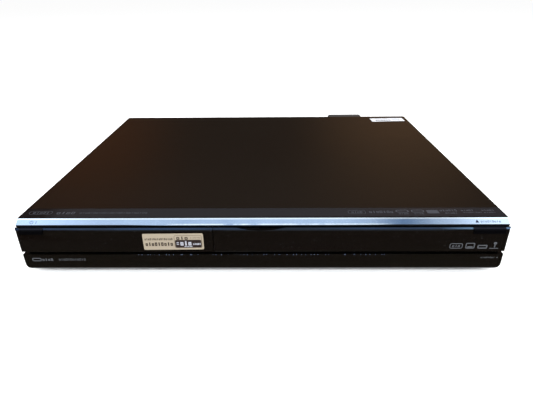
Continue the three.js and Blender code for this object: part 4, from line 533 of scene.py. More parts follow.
def soften(nodeName, width, d):
    bm = bmesh.new()
    bm.from_mesh(nodes[nodeName].data)
    bmesh.ops.remove_doubles(bm, verts=bm.verts, dist=d["merge"])
    if nodeName == "silver_bar":
        bmesh.ops.scale(bm, vec=(d["barShare"], 1, 1), verts=bm.verts)
    if nodeName == "loading_gear":
        bm.normal_update()
        for v in bm.verts:
            v.co -= v.normal * d["gearRoom"] * mm
    if width:
        flat = math.radians(d["flat"])
        bmesh.ops.join_triangles(bm, faces=bm.faces, angle_face_threshold=flat, angle_shape_threshold=math.pi)
    material = nodes[nodeName].data.materials[0]
    made = finishPiece(nodeName + ".soft", bm, material, nodeName, d["smooth"])
    if width:
        soft = made.modifiers.new("softEdge", "BEVEL")
        soft.width = width * mm
        soft.segments = d["segments"]
        soft.limit_method = "ANGLE"
        soft.angle_limit = math.radians(d["angle"])
        soft.harden_normals = True
        soft.miter_outer = "MITER_ARC"
    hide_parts(nodeName)


softEdges = {
    "front_flap": 0.2, "tray_front": 0.2, "silver_bar": 0.3, "power_key": 0.35, "open_close_key": 0.35,
    "top_cover": 0.25, "fan_housing": 0.5, "front_panel": 0.2, "ac_inlet": 0.25, "disc_tray": 0.2,
    "network_socket": 0.15, "optical_socket": 0.15,
    "channel_down_key": 0.3, "channel_up_key": 0.3, "stop_key": 0.3, "play_key": 0.3, "record_key": 0.3,
    "display_window": 0.2, "card_slot": 0.15, "hard_disk": 0.3,
}
smoothOnly = [
    "loading_gear", "front_jacks", "audio_video_jacks", "component_jacks", "tuner", "turntable", "clamp_puck",
    "spindle_motor", "loading_motor", "sled_motor", "main_capacitor", "guide_rod_left", "guide_rod_right",
    "fan_frame", "fan_rotor",
]
for name, width in softEdges.items():
    soften(name, width, softShape)
for name in smoothOnly:
    soften(name, 0, softShape)
print("edges softened:", len(softEdges) + len(smoothOnly))


# Shapes in millimetres, laid out flat, right along x and up along y, then set on a surface
def facing(origin, right, up):
    across = Vector(right).normalized()
    upward = Vector(up).normalized()
    return Matrix.Translation(origin) @ Matrix((across, upward, across.cross(upward))).transposed().to_4x4()


def lift(spot, height):
    return spot @ Matrix.Translation((0, 0, height * mm))


def newest(bm, count):
    bm.verts.ensure_lookup_table()
    return list(bm.verts)[count:]


def facesAt(verts):
    return list({f for v in verts for f in v.link_faces})


def thicken(bm, faces, thick):
    grown = bmesh.ops.extrude_face_region(bm, geom=faces)
    lifted = [g for g in grown["geom"] if isinstance(g, bmesh.types.BMVert)]
    bmesh.ops.translate(bm, vec=(0, 0, thick * mm), verts=lifted)


def shift(bm, verts, centre):
    bmesh.ops.translate(bm, vec=(centre[0] * mm, centre[1] * mm, 0), verts=verts)


def turn(bm, verts, angle):
    bmesh.ops.rotate(bm, cent=(0, 0, 0), matrix=Matrix.Rotation(math.radians(angle), 3, "Z"), verts=verts)


def plateFaces(bm, width, height, radius, centre):
    verts = bmesh.ops.create_grid(bm, x_segments=1, y_segments=1, size=0.5)["verts"]
    bmesh.ops.scale(bm, vec=(width * mm, height * mm, 1), verts=verts)
    shift(bm, verts, centre)
    if radius:
        verts = bmesh.ops.bevel(
            bm, geom=verts, offset=radius * mm, offset_type="OFFSET", segments=4, profile=0.5,
            affect="VERTICES", material=-1,
        )["verts"]
    return facesAt(verts)


def addPlate(bm, width, height, thick, radius=0, centre=(0, 0)):
    thicken(bm, plateFaces(bm, width, height, radius, centre), thick)


def addFrame(bm, width, height, line, thick, radius=0, centre=(0, 0)):
    inner = plateFaces(bm, width, height, radius, centre)
    ring = bmesh.ops.inset_region(
        bm, faces=inner, use_boundary=True, use_even_offset=True, thickness=line * mm,
    )["faces"]
    bmesh.ops.delete(bm, geom=inner, context="FACES_ONLY")
    thicken(bm, ring, thick)


def addPolygon(bm, sides, radius, thick, centre=(0, 0), angle=0):
    verts = bmesh.ops.create_circle(bm, cap_ends=True, segments=sides, radius=radius * mm)["verts"]
    turn(bm, verts, angle)
    shift(bm, verts, centre)
    thicken(bm, facesAt(verts), thick)


def addTurned(bm, profile, spot, steps, closed=True):  # profile of (radius, height) about the way out
    count = len(bm.verts)
    verts = [bm.verts.new((r * mm, 0, h * mm)) for r, h in profile]
    edges = [bm.edges.new(pair) for pair in zip(verts, verts[1:])]
    if closed:
        edges.append(bm.edges.new((verts[-1], verts[0])))
    bmesh.ops.spin(
        bm, geom=verts + edges, cent=(0, 0, 0), axis=(0, 0, 1), angle=2 * math.pi, steps=steps, use_merge=True,
    )
    bmesh.ops.transform(bm, matrix=spot, verts=newest(bm, count))


def ring(inner, outer, low, high):
    return [(inner, low), (outer, low), (outer, high), (inner, high)]


def setOn(bm, spot):
    bmesh.ops.transform(bm, matrix=spot, verts=bm.verts)
    return bm


# Marks stand for words and signs; each row of a table names its mark, then the sizes in the order below
markThick = 0.02
rise = 0.015  # what a print stands off its surface


def words(bm, left, middle, height, lengths, gap):  # small bars
    for length in lengths:
        addPlate(bm, length, height, markThick, 0, (left + length / 2, middle))
        left += length + gap


def letters(bm, left, middle, height, count, pitch, line):  # small frames and strokes in turn
    for k in range(count):
        spot = left + pitch * (k + 0.5)
        if k % 3 == 1:
            addPlate(bm, line * 1.3, height, markThick, 0, (spot, middle))
        else:
            share = 1 if k % 2 else 0.8
            centre = (spot, middle - height * (1 - share) / 2)
            addFrame(bm, pitch * 0.74, height * share, line, markThick, 0, centre)


def frameMark(bm, x, y, width, height, line, corner):
    addFrame(bm, width, height, line, markThick, corner, (x, y))


def plateMark(bm, x, y, width, height, corner):
    addPlate(bm, width, height, markThick, corner, (x, y))


def dotMark(bm, x, y, radius):
    addPolygon(bm, 20, radius, markThick, (x, y))


def triangleMark(bm, x, y, radius, angle=0):
    addPolygon(bm, 3, radius, markThick, (x, y), angle)


def powerMark(bm, x, y, radius, line, start=120, sweep=300, steps=20):
    count = len(bm.verts)
    ends = [bm.verts.new((r * mm, 0, 0)) for r in (radius - line, radius)]
    edge = bm.edges.new(ends)
    turn(bm, ends, start)
    bmesh.ops.spin(
        bm, geom=ends + [edge], cent=(0, 0, 0), axis=(0, 0, 1), angle=math.radians(sweep), steps=steps,
        use_duplicate=False,
    )
    fresh = newest(bm, count)
    shift(bm, fresh, (x, y))
    thicken(bm, facesAt(fresh), markThick)
    addPlate(bm, line, radius, markThick, 0, (x, y + radius * 0.7))


def addMarks(name, marks, spot, ink, slotName):
    bm = bmesh.new()
    for draw, *sizes in marks:
        draw(bm, *sizes)
    finishPiece(name, setOn(bm, lift(spot, rise)), inks[ink], slotName)


acrossX, acrossBack = (1, 0, 0), (-1, 0, 0)
upward, backward = (0, 0, 1), (0, 1, 0)
sine, cosine = frontLevels["barSlope"]


def rearSpot(x, y, z):
    return facing(at(x, y, z), acrossBack, upward)


surfaces = {
    "door": facing(at(0, 0, 0), acrossX, upward),
    "strip": facing(at(0, frontLevels["stripBack"], 0), acrossX, upward),
    "top": facing(at(0, 0, 59), acrossX, backward),
    "bar": facing(at(0, frontLevels["barFootBack"], frontLevels["barFoot"]), acrossX, (0, cosine, sine)),
    "wall": facing(at(0, frontLevels["wallFace"], 0), acrossX, upward),
    "rear": rearSpot(0, frontLevels["rear"], 0),
    "base": facing(at(20, 262, frontLevels["base"]), acrossBack, backward),
}

# Labels: a plate with layers of marks, each layer as high over the plate as its third value says
labels = {
    "tray_label": {
        "surface": "door", "slot": "tray_front", "ink": "cream",
        "centre": (-76.9, 39.1), "width": 53.2, "height": 16.4, "tilt": 0.5, "corner": 1.3,
        "layers": [
            ("_bars", "brown", 0, [
                (letters, -25.2, 2.7, 2.1, 16, 1.56, 0.42), (letters, -25.1, -2.4, 3.6, 9, 2.76, 0.85),
                (letters, 2.6, 3.6, 3.2, 3, 3.6, 0.8), (letters, 15, 3.7, 0.8, 7, 1.3, 0.2),
                (frameMark, 13.1, 0, 24.2, 12.6, 0.25, 1.5),
            ]),
            ("_box", "boxDark", markThick, [(plateMark, 13.1, -2.2, 23.2, 7.8, 1.3)]),
            ("_box_bars", "boxPale", 3 * markThick, [
                (letters, 5.7, -1.8, 4.4, 3, 3.5, 1),
                (words, 2.8, -1, 0.7, (2,), 0.5), (words, 2.8, -2.6, 0.7, (2,), 0.5),
                (letters, 17.2, -2.5, 1.8, 5, 1.4, 0.45),
                (words, 9.4, -5.1, 0.7, (2, 1.4, 2.6), 0.5),
            ]),
        ],
    },
    "cover_label": {
        "surface": "top", "slot": "top_cover", "ink": "white",
        "centre": (183.6, 315.4), "width": 49.2, "height": 16.4, "tilt": 3, "corner": 0.9,
        "layers": [
            ("_dark", "grey", 0, [(words, -18, -2.5, 4.2, (3, 2.4, 4.2, 3.4, 2.6, 3.2), 0.7)]),
            ("_pale", "pale", 0, [
                (words, 8, 1.5, 3, (4.2, 3.2, 2.4), 0.8), (words, -18, 4.6, 1.6, (7, 4, 6), 1),
                (words, 8, -4, 1.4, (5.4, 4.4), 0.8),
            ]),
        ],
    },
    "rating_label": {
        "surface": "rear", "slot": "rear_panel", "ink": "white",
        "centre": (130.5, 23.6), "width": 44, "height": 21, "tilt": 0, "corner": 1.2,
        "layers": [
            ("_bars", "panelDark", 0, [
                (words, -19.5, 7.4, 2.2, (9, 12, 6), 1.2), (words, -19.5, 3.6, 1.2, (5, 8, 7, 9), 1),
                (words, -19.5, 0.9, 1.2, (8, 4, 11), 1), (words, -19.5, -1.8, 1.2, (6, 9), 1),
                (words, -19.5, -6.6, 3.8, (
                    0.5, 0.9, 0.4, 0.4, 1.1, 0.5, 0.8, 0.4, 0.9, 0.5, 0.4, 1, 0.6, 0.4, 0.9, 0.5, 1.1, 0.4, 0.5, 0.8,
                ), 0.45),
            ]),
        ],
    },
}
labels["base_label"] = dict(labels["rating_label"], surface="base", slot="chassis", centre=(0, 0), width=60)
labelThick = 0.08


def addLabel(name, d):
    x, y = d["centre"]
    tilt = Matrix.Rotation(math.radians(d["tilt"]), 4, "Z")
    spot = lift(surfaces[d["surface"]] @ Matrix.Translation((x * mm, y * mm, 0)), rise) @ tilt
    bm = bmesh.new()
    addPlate(bm, d["width"], d["height"], labelThick, d["corner"])
    finishPiece(name, setOn(bm, spot), inks[d["ink"]], d["slot"])
    for part, ink, height, marks in d["layers"]:
        addMarks(name + part, marks, lift(spot, labelThick + height), ink, d["slot"])


for name, d in labels.items():
    addLabel(name, d)
print("labels placed")

# Plain marks: power sign, triangles, rows of bars and small frames.
# Rear marks count to the right as seen from behind.
markSets = {  # surface, ink, slot, marks
    "marks_bar": ("bar", "barMark", "silver_bar", [
        (powerMark, -200.2, 3.5, 1.6, 0.4),
        (plateMark, -196.2, 3.5, 0.45, 2.8, 0),
        (letters, 189, 3.4, 1.9, 9, 1.95, 0.4),
    ]),
    "marks_sign": ("bar", "signMark", "silver_bar", [
        (triangleMark, 186.2, 3.3, 1.9),
    ]),
    "marks_top": ("top", "faint", "front_panel", [
        (frameMark, -197.4, 17.1, 21, 6.4, 0.5, 3),
        (letters, -204.6, 17.1, 3.4, 5, 3, 0.7), (letters, -183.2, 16.6, 4.2, 4, 4.3, 0.9),
        (letters, -162.4, 16.6, 2.6, 25, 2.44, 0.35),
        (frameMark, 85, 16.8, 15.4, 6.4, 0.4, 1.2),
        (letters, 80, 16.8, 3, 4, 2.5, 0.5), (letters, 95.6, 17.1, 4, 7, 3.1, 0.7),
        (frameMark, 125.4, 18.4, 11.6, 5, 1, 2.2),
        (letters, 121, 13.4, 1.8, 4, 2.2, 0.4),
        (frameMark, 139, 18.4, 11.6, 5, 1, 2.2),
        (letters, 134.6, 13.4, 1.8, 4, 2.2, 0.4),
        (plateMark, 152, 17.3, 10.4, 6.4, 0.8),
        (letters, 158.6, 19.6, 3.4, 6, 2.6, 0.7), (letters, 162, 14.6, 2.2, 5, 2.2, 0.5),
        (letters, 177.4, 19.6, 2.6, 5, 2.3, 0.6), (letters, 178.2, 15.6, 1.8, 8, 2.1, 0.4),
        (letters, 195.6, 19.6, 2.6, 5, 2.3, 0.6), (letters, 196.4, 15.6, 1.8, 5, 2.1, 0.4),
    ]),
    "marks_door": ("door", "grey", "front_flap", [
        (frameMark, 170.6, 34.2, 11.4, 5.4, 0.7, 1.6),
        (letters, 166.8, 34.2, 2.4, 3, 2.5, 0.5),
        (frameMark, 182.8, 34.4, 8, 5.8, 0.9, 1.2),
        (plateMark, 182.8, 33.2, 4.6, 1.3, 0.3),
        (frameMark, 193.6, 33.3, 8.6, 3.8, 1.1, 1),
        (dotMark, 204.2, 36.8, 1.4),
        (plateMark, 204.2, 34.2, 0.9, 3.2, 0),
        (words, 200, 31.7, 0.7, (7.6,), 0.5),
    ]),
    "marks_strip": ("strip", "grey", "front_panel", [
        (frameMark, -203.2, 19.3, 8.6, 3.6, 0.9, 1.6),
        (letters, -198.6, 19.2, 2.6, 4, 2.6, 0.8), (letters, -183.4, 19.3, 2.2, 12, 2.06, 0.36),
        (letters, 195.2, 21, 1.5, 8, 1.6, 0.3),
        (triangleMark, 210, 20.9, 0.9),
    ]),
    "marks_bay": ("wall", "pale", "front_panel", [
        (triangleMark, 105.5, 45.4, 1.1, 180), (triangleMark, 117.1, 45, 1.1),
        (plateMark, 128.7, 45.2, 1.8, 1.8, 0.1),
        (triangleMark, 140.3, 45.2, 1.2, -90),
        (dotMark, 151.9, 45.2, 1),
        (words, 101.4, 32, 0.8, (4, 4.2), 0.6), (words, 113.4, 32, 0.8, (3, 4), 0.6),
        (words, 125.6, 32, 0.8, (6,), 0.6), (words, 137.2, 32, 0.8, (6,), 0.6),
        (words, 148.6, 32, 0.8, (3.2, 3), 0.6), (words, 160.2, 46, 1, (3.4, 4), 0.6),
        (words, 172.6, 46, 1, (6.8,), 0.6), (words, 184, 46, 1, (3.2, 3.4, 2.6), 0.6),
        (words, -32.4, 46.2, 1, (4.4, 6.8), 0.8), (words, -26, 36.4, 0.8, (3, 5.6), 0.6),
        (frameMark, 188, 31, 34, 0.9, 0.25, 0.3),
    ]),
    "marks_rear": ("rear", "panelDark", "rear_panel", [
        (frameMark, 23, 31.8, 60, 31.6, 0.35, 2), (frameMark, -29, 31.8, 31.6, 31.6, 0.35, 2),
        (frameMark, -182.5, 30, 48, 24, 0.35, 2),
        (words, -3, 50.2, 1.5, (7, 9, 5), 1), (words, 30, 50.2, 1.5, (8, 6), 1),
        (words, -40, 50.2, 1.5, (10, 7), 1), (words, -70.6, 44.2, 1.3, (6, 4.6, 4), 0.8),
        (words, -70, 28.4, 1.2, (5, 4), 0.8), (words, 80.6, 37.4, 1.4, (4, 6, 3), 0.8),
        (words, -176.6, 46.2, 1.4, (6, 5), 0.8), (words, -199, 46.2, 1.4, (5, 7), 0.8),
        (words, 170, 42, 1.6, (5, 9, 4), 0.9), (words, -96, 45, 1.3, (4, 5, 3), 0.8),
    ]),
}
for name, (surface, ink, slotName, marks) in markSets.items():
    addMarks(name, marks, surfaces[surface], ink, slotName)
print("mark sets printed:", len(markSets))


# Screws: a domed head with a cross pressed in, in shares of its radius and height
screwShape = {"top": 0.66, "arm": 0.13, "reach": 0.46, "sunk": 0.6, "shoulder": (1.36, 0.3), "foot": (1.11, 0.7)}


def growRing(bm, edges, spread, drop):
    made = bmesh.ops.extrude_edge_only(bm, edges=edges)["geom"]
    verts = [g for g in made if isinstance(g, bmesh.types.BMVert)]
    bmesh.ops.scale(bm, vec=(spread, spread, 1), verts=verts)
    bmesh.ops.translate(bm, vec=(0, 0, -drop * mm), verts=verts)
    return [g for g in made if isinstance(g, bmesh.types.BMEdge)]


def addScrew(bm, spot, radius, height, d):
    count = len(bm.verts)
    circle = bmesh.ops.create_circle(bm, cap_ends=False, segments=24, radius=radius * d["top"] * mm)["verts"]
    arm, reach = radius * d["arm"] * mm, radius * d["reach"] * mm
    points = []
    for k in range(4):
        quarter = Matrix.Rotation(-math.pi / 2 * k, 3, "Z")
        points += [quarter @ Vector((x, y, 0)) for x, y in ((arm, reach), (arm, arm), (reach, arm))]
    cross = [bm.verts.new(p) for p in points]
    rim = [bm.edges.new((a, b)) for a, b in zip(cross, cross[1:] + cross[:1])]
    outer = list({e for v in circle for e in v.link_edges})
    bmesh.ops.triangle_fill(bm, edges=outer + rim, use_beauty=True)
    bmesh.ops.triangle_fill(bm, edges=growRing(bm, rim, 1, height * d["sunk"]), use_beauty=True)
    for spread, share in (d["shoulder"], d["foot"]):
        outer = growRing(bm, outer, spread, height * share)
    bmesh.ops.triangle_fill(bm, edges=outer, use_beauty=True)
    bmesh.ops.transform(bm, matrix=lift(spot, height), verts=newest(bm, count))


fanMiddle = (124.485, 33.95)
sideScrews = {"finish": "blackScrew", "slot": "top_cover", "radius": 3.2, "height": 1.3, "up": upward}
brightScrews = {"finish": "nickel", "right": acrossBack, "up": upward}
screwSets = {
    "screws_left": {**sideScrews, "right": (0, -1, 0), "places": [(-215, y, 20.5) for y in (70, 282)]},
    "screws_right": {**sideScrews, "right": (0, 1, 0), "places": [(215, y, 20.5) for y in (70, 282)]},
    "screws_lip": {
        "finish": "blackScrew", "slot": "top_cover", "radius": 2.6, "height": 1.1, "right": acrossBack, "up": upward,
        "places": [(x, 335, 53.6) for x in (-203, -70, 60, 203)],
    },
    "screws_rear": {
        **brightScrews, "slot": "rear_panel", "radius": 2.4, "height": 1.1,
        "places": [(x, frontLevels["rear"], z) for x, z in (
            (-207, 14), (-163.5, 29), (-104, 13), (-58, 31.8), (9.8, 31.8),
            (49, 31.8), (77, 28), (155, 30.5), (208, 14), (92, 14),
        )],
    },
    "screws_fan": {
        **brightScrews, "slot": "fan_housing", "radius": 2.2, "height": 0.9,
        "places": [(fanMiddle[0] + x, 353.7, fanMiddle[1] + z) for x in (-20.6, 20.6) for z in (-18.4, 18.4)],
    },
    "screws_bottom": {
        **brightScrews, "slot": "chassis", "radius": 2.6, "height": 1, "up": backward,
        "places": [(x, y, frontLevels["base"]) for x, y in [(x, y) for x in (-196, 196) for y in (34, 150, 322)] + [
            (-182, 47), (-70, 47), (-182, 180), (-70, 180), (-30, 75), (54, 75),
            (-30, 192), (54, 192), (-110, 300), (30, 300), (140, 240), (0, 26),
        ]],
    },
}


def addScrews(name, d):
    bm = bmesh.new()
    for place in d["places"]:
        addScrew(bm, facing(at(*place), d["right"], d["up"]), d["radius"], d["height"], screwShape)
    finishPiece(name, bm, finishes[d["finish"]], d["slot"], 30)


for name, d in screwSets.items():
    addScrews(name, d)
print("screws in:", sum(len(d["places"]) for d in screwSets.values()))

# Round jacks behind and in the control bay: metal sleeve, coloured foot, insulator and contact
jackShape = {"sleeve": 4.45, "bore": 3.3, "past": 0.45, "foot": 5.7, "footLength": 1.6, "pin": 1.75, "edge": 0.25}
bayShape = dict(jackShape, foot=5, footLength=0.7, past=0.3)
rearRows = (38.8, 24.8)
rearJacks = {"origin": frontLevels["rear"], "right": acrossBack, "reach": 9, "shape": jackShape}
jackSets = {
    "av_jacks": {
        **rearJacks, "places": [(-43.99 + 14 * k, z) for k in range(4) for z in rearRows], "slot": "audio_video_jacks",
        "colors": ["yellow", "yellow", "jackWhite", "jackWhite", "red", "red", "yellow", "jackWhite"],
    },
    "component": {
        **rearJacks, "places": [(x, z) for x in (22, 36) for z in rearRows], "slot": "component_jacks",
        "colors": ["green", "blue", "red", "yellow"],
    },
    "bay_jacks": {
        "places": [(164 + 12 * k, 38.5) for k in range(1, 4)], "slot": "front_jacks",
        "colors": ["yellow", "jackWhite", "red"],
        "origin": frontLevels["wallFace"], "right": acrossX, "reach": 0.8, "shape": bayShape,
    },
}


def addJacks(name, d):
    spots = [facing(at(x, d["origin"], z), d["right"], upward) for x, z in d["places"]]
    shape, reach = d["shape"], d["reach"]
    sleeve, bore, pin, edge, high = shape["sleeve"], shape["bore"], shape["pin"], shape["edge"], reach + shape["past"]
    bm = bmesh.new()
    for spot in spots:
        addTurned(bm, [
            (sleeve, 0), (sleeve, high - edge), (sleeve - edge, high), (bore + 0.15, high), (bore, high - 0.15),
            (bore, reach + 0.02), (sleeve - 0.05, reach + 0.02), (sleeve - 0.05, 0),
        ], spot, 40)
    finishPiece(name + "_sleeves", bm, finishes["nickel"], d["slot"], 30)
    for color in sorted(set(d["colors"])):
        bm = bmesh.new()
        for spot, own in zip(spots, d["colors"]):
            if own == color:
                addTurned(bm, ring(pin, bore - 0.05, reach + 0.03, reach + 0.14), spot, 40)
                foot, length = shape["foot"], shape["footLength"]
                addTurned(bm, [
                    (sleeve + 0.05, 0.06), (foot, 0.06), (foot, length - 0.3), (foot - 0.3, length),
                    (sleeve + 0.05, length),
                ], spot, 40)
        finishPiece(name + "_" + color, bm, inks[color], d["slot"], 30)
    bm = bmesh.new()
    for spot in spots:  # spring contact round the bore
        addTurned(bm, ring(pin - 0.35, pin - 0.05, reach - 1.6, reach + 0.1), spot, 24)
    finishPiece(name + "_contacts", bm, finishes["gold"], d["slot"], 30)


for name, d in jackSets.items():
    addJacks(name, d)
print("jacks dressed")

# Round video socket in the bay: plain face with four pin holes and a key
videoSocket = {"centre": (164, 38.5), "front": 10.2, "radius": 4.2, "face": 3.45, "pins": 1.7, "pin": 0.42}


def addVideoSocket(d):
    x, z = d["centre"]
    spot = facing(at(x, d["front"], z), acrossX, upward)
    radius = d["radius"]
    bm = bmesh.new()
    addTurned(bm, [
        (3.5, 0.02), (radius, 0.02), (radius, 0.5), (radius - 0.2, 0.62), (3.6, 0.62), (3.5, 0.5),
    ], spot, 40)
    finishPiece("bay_video_shell", bm, finishes["nickel"], "front_jacks", 30)
    bm = bmesh.new()
    addPolygon(bm, 36, d["face"], 0.2)
    finishPiece("bay_video_face", setOn(bm, lift(spot, 0.02)), finishes["moulded"], "front_jacks")
    bm = bmesh.new()
    for k in range(4):
        angle = math.radians(45 + 90 * k)
        addPolygon(bm, 12, d["pin"], 0.04, (d["pins"] * math.cos(angle), d["pins"] * math.sin(angle)))
    addPlate(bm, 1.6, 0.7, 0.04, 0, (0, -2.5))
    finishPiece("bay_video_pins", setOn(bm, lift(spot, 0.23)), finishes["gold"], "front_jacks")


addVideoSocket(videoSocket)


# Rear sockets: contacts, lamps, shutter, pins and threads
def addContact(bm, spot, width, length, thick):
    start = len(bm.verts)
    addPlate(bm, width, length, thick)
    bmesh.ops.transform(bm, matrix=spot, verts=newest(bm, start))


def rowOf(d):  # places of contacts about the middle of a socket
    return [d["centre"] + (k - (d["count"] - 1) / 2) * d["pitch"] for k in range(d["count"])]


network = {
    "centre": -88.02, "count": 8, "pitch": 1.02, "contact": (0.35, 9, 0.2), "lean": (0, 0.94, -0.34),
    "lamp": (2.6, 1.5, 0.12, 0.2), "lampOut": 5.2,
}


def addNetworkContacts(d):
    bm = bmesh.new()
    for x in rowOf(d):
        addContact(bm, facing(at(x, 327.6, 29.6), acrossX, d["lean"]), *d["contact"])
    finishPiece("network_contacts", bm, finishes["gold"], "network_socket")
    for side, ink in ((-1, "green"), (1, "amber")):
        bm = bmesh.new()
        addPlate(bm, *d["lamp"])
        spot = rearSpot(d["centre"] + side * d["lampOut"], 334.5, 33)
        finishPiece("network_lamp_" + ink, setOn(bm, lift(spot, rise)), inks[ink], "network_socket")


addNetworkContacts(network)

display = {"centre": 63, "middle": 22.8, "count": 10, "pitch": 1.05, "contact": (0.45, 6, 0.06), "half": 0.73}


def addDisplayContacts(d):
    bm = bmesh.new()
    for side in (-1, 1):
        for x in rowOf(d):
            addContact(bm, facing(at(x, 330.6, d["middle"] + side * d["half"]), (side, 0, 0), backward), *d["contact"])
    finishPiece("display_contacts", bm, finishes["gold"], "display_socket")


addDisplayContacts(display)

optical = {"centre": 63, "middle": 36.2, "size": 6.2, "frame": 4}


def addShutter(d):
    bm = bmesh.new()
    addPlate(bm, d["size"], d["size"], 0.5, 0.4)
    addFrame(bm, d["frame"], d["frame"], 0.5, 0.75, 0.6)
    spot = rearSpot(d["centre"], 332.9, d["middle"])
    finishPiece("optical_shutter", setOn(bm, spot), finishes["greyPlastic"], "optical_socket")


addShutter(optical)

mains = {"centre": -184.04, "middle": 29, "gap": 8.6, "start": 312.6, "end": 321.8, "radius": 1.32}


def addMainsPins(d):
    bm = bmesh.new()
    radius, length = d["radius"], d["end"] - d["start"]
    profile = [
        (0, 0), (radius, 0), (radius, length - 0.8), (radius * 0.86, length - 0.3), (radius * 0.5, length), (0, length),
    ]
    for side in (-1, 1):
        spot = rearSpot(d["centre"] + side * d["gap"] / 2, d["start"], d["middle"])
        addTurned(bm, profile, spot, 28, False)
    finishPiece("mains_pins", bm, finishes["nickel"], "ac_inlet", 35)


addMainsPins(mains)

aerial = {
    "places": [171.25, 193.75], "middle": 30, "radius": 4.75, "length": 10, "first": 2.6, "pitch": 0.72,
    "crest": 0.3, "cap": (1, 2.85), "contact": (0.45, 0.95, 3),
}


def addAerialThreads(d):
    threads, caps, contacts = bmesh.new(), bmesh.new(), bmesh.new()
    radius, length = d["radius"], d["length"]
    profile = [(radius - 0.1, d["first"]), (radius + 0.02, d["first"])]
    height = d["first"] + 0.1
    while height < length - 1.4:
        profile += [(radius + 0.02, height), (radius + d["crest"], height + d["pitch"] * 0.5)]
        height += d["pitch"]
    profile += [
        (radius + 0.02, height), (radius + 0.02, length - 0.4), (radius - 0.3, length + 0.06), (2.9, length + 0.06),
        (2.9, length + 0.02), (radius - 0.1, length + 0.02),
    ]
    inner, outer, deep = d["contact"]
    for x in d["places"]:
        spot = rearSpot(x, frontLevels["rear"], d["middle"])
        addTurned(threads, profile, spot, 40)
        addTurned(caps, ring(*d["cap"], length + 0.02, length + 0.05), spot, 36)
        addTurned(contacts, ring(inner, outer, length - deep, length + 0.09), spot, 20)
    finishPiece("aerial_threads", threads, finishes["nickel"], "tuner", 20)
    finishPiece("aerial_insulators", caps, finishes["whitePlastic"], "tuner", 30)
    finishPiece("aerial_contacts", contacts, finishes["gold"], "tuner", 30)


addAerialThreads(aerial)
print("sockets dressed")

# Feet: turned rubber, hollow in the middle underneath
footShape = {
    "profile": [
        (0, 0.7), (8.2, 0.7), (8.6, 0.5), (8.9, 0.05), (9.4, 0), (10.9, 0), (11.5, 0.16), (11.9, 0.6), (12, 1.2),
        (12, 3.6), (11.9, 4.2), (10.9, 7.7), (10.6, 8), (2, 8), (2, 11), (0, 11),
    ],
    "steps": 56,
}


def addFoot(nodeName, d):
    low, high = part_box(nodeName)
    middle = (low + high) / 2
    bm = bmesh.new()
    addTurned(bm, d["profile"], Matrix.Translation((middle.x, middle.y, 0)), d["steps"], False)
    made = finishPiece(nodeName + ".turned", bm, finishes["rubber"], nodeName, 30)
    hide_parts(nodeName)


for name in ("foot_front_left", "foot_front_right", "foot_rear_left", "foot_rear_right"):
    addFoot(name, footShape)

# Plain round label on the fan's hub
fanHub = {"back": 345.62, "radius": 6.4, "thick": 0.1}
bm = bmesh.new()
addPolygon(bm, 36, fanHub["radius"], fanHub["thick"])
spot = rearSpot(fanMiddle[0], fanHub["back"], fanMiddle[1])
finishPiece("fan_hub_label", setOn(bm, spot), inks["white"], "fan_frame")
print("feet and fan dressed")

# Floor, light and what the gloss reflects
studio = {
    "floor": 20, "floorDrop": 0.05, "floorTone": srgb(252, 252, 252), "sky": 1, "tent": 26,
    "low": (0.033, 0.017, 0.009), "middle": (0.088, 0.063, 0.044), "high": (1, 1, 1),
    "below": (0.10, 0.085, 0.065), "rear": (0.9, 0.9, 0.92),
    "glows": [
        {"way": (-0.442, 0.868, 0.225), "from": 0.972, "to": 0.998, "color": (0.27, 0.075, 0.008)},
        {"way": (0.32, 0.928, 0.19), "from": 0.965, "to": 0.998, "color": (0.46, 0.25, 0.12)},
    ],
}


def addFloor(d):
    bm = bmesh.new()
    bmesh.ops.create_grid(bm, x_segments=1, y_segments=1, size=d["floor"])
    bmesh.ops.translate(bm, vec=(0, 0, -d["floorDrop"] * mm), verts=bm.verts)
    f = Finish("floorPaper", d["floorTone"], 0.9, specular=0)
    f.put("Base Color", f.blend(f.noise(3, 2) * 0.2, d["floorTone"], darker(d["floorTone"], 0.985)))
    floor = addMesh("studioFloor", bm, f.mat)
    floor.visible_glossy = False


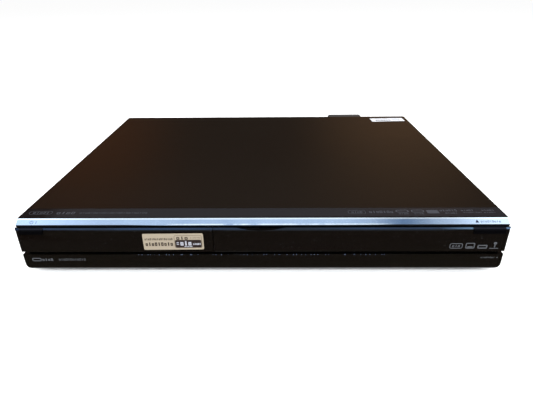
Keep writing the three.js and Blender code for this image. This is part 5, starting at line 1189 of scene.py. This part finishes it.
def addTent(d):  # a round tent that only gloss sees: dim at the sides, bright overhead
    bm = bmesh.new()
    bmesh.ops.create_uvsphere(bm, u_segments=48, v_segments=24, radius=d["tent"])
    f = Finish("tentCloth", (0, 0, 0), 1, specular=0)
    share = 1 / d["tent"]
    height, back, across = f.axis("Z") * share, f.axis("Y") * share, f.axis("X") * share
    upper = f.blend(height.ramp(0.24, 0.48), d["low"], d["middle"])
    top = 1 + across.abs().ramp(0.4, 0.48) * 0.85 - (1 - (across - 0.31).abs().ramp(0.02, 0.11)) * 0.75
    roof = f.node("ShaderNodeVectorMath", {"operation": "SCALE"}, {0: d["high"], "Scale": top}, "Vector")
    upper = f.blend(height.ramp(0.62, 0.82), upper, roof)
    for glow in d["glows"]:
        spot = f.place((share, share, share))
        near = f.node("ShaderNodeVectorMath", {"operation": "DOT_PRODUCT"}, {0: spot, 1: glow["way"]}, "Value")
        low = 1 - height.ramp(0.3, 0.4)
        upper = f.blend(near.ramp(glow["from"], glow["to"]) * low, upper, glow["color"])
    lower = f.blend(back.ramp(-0.1, 0.25), d["below"], d["rear"])
    f.put("Emission Color", f.blend(height.ramp(-0.03, 0.02), lower, upper))
    f.put("Emission Strength", 1)
    tent = addMesh("lightTent", bm, f.mat)
    tent.visible_camera = tent.visible_diffuse = tent.visible_shadow = tent.visible_transmission = False


addFloor(studio)
addTent(studio)


def addLight(name, d):
    data = bpy.data.lights.new(name, "AREA")
    data.shape = "RECTANGLE"
    data.size, data.size_y = d["size"]
    data.energy = d["power"]
    data.color = d.get("color", (1, 1, 1))
    lamp = addObject(name, data)
    lamp.location = d["spot"]
    lamp.rotation_euler = (Vector(d["target"]) - Vector(d["spot"])).to_track_quat("-Z", "Y").to_euler()
    lamp.visible_camera = False
    lamp.visible_glossy = d.get("mirrored", False)


lights = {
    "overhead": {"spot": (0, -0.35, 2), "target": (0, -0.1, 0), "size": (1.8, 1.2), "power": 30},
    "fill": {"spot": (0, -1.4, 1.1), "target": (0, -0.15, 0), "size": (2.4, 0.3), "power": 36},
    "window": {
        "spot": (0, -2.1, 1.65), "target": (0, 0, 0), "size": (3.4, 0.9), "power": 8,
        "color": (0.45, 0.7, 1), "mirrored": True,
    },
}
for name, d in lights.items():
    addLight(name, d)

world = bpy.data.worlds.new("studioWorld")
world.use_nodes = True
world.node_tree.nodes["Background"].inputs["Color"].default_value = (1, 1, 1, 1)
world.node_tree.nodes["Background"].inputs["Strength"].default_value = studio["sky"]
bpy.context.scene.world = world
bpy.context.scene.view_settings.view_transform = "Standard"
print("studio lit")
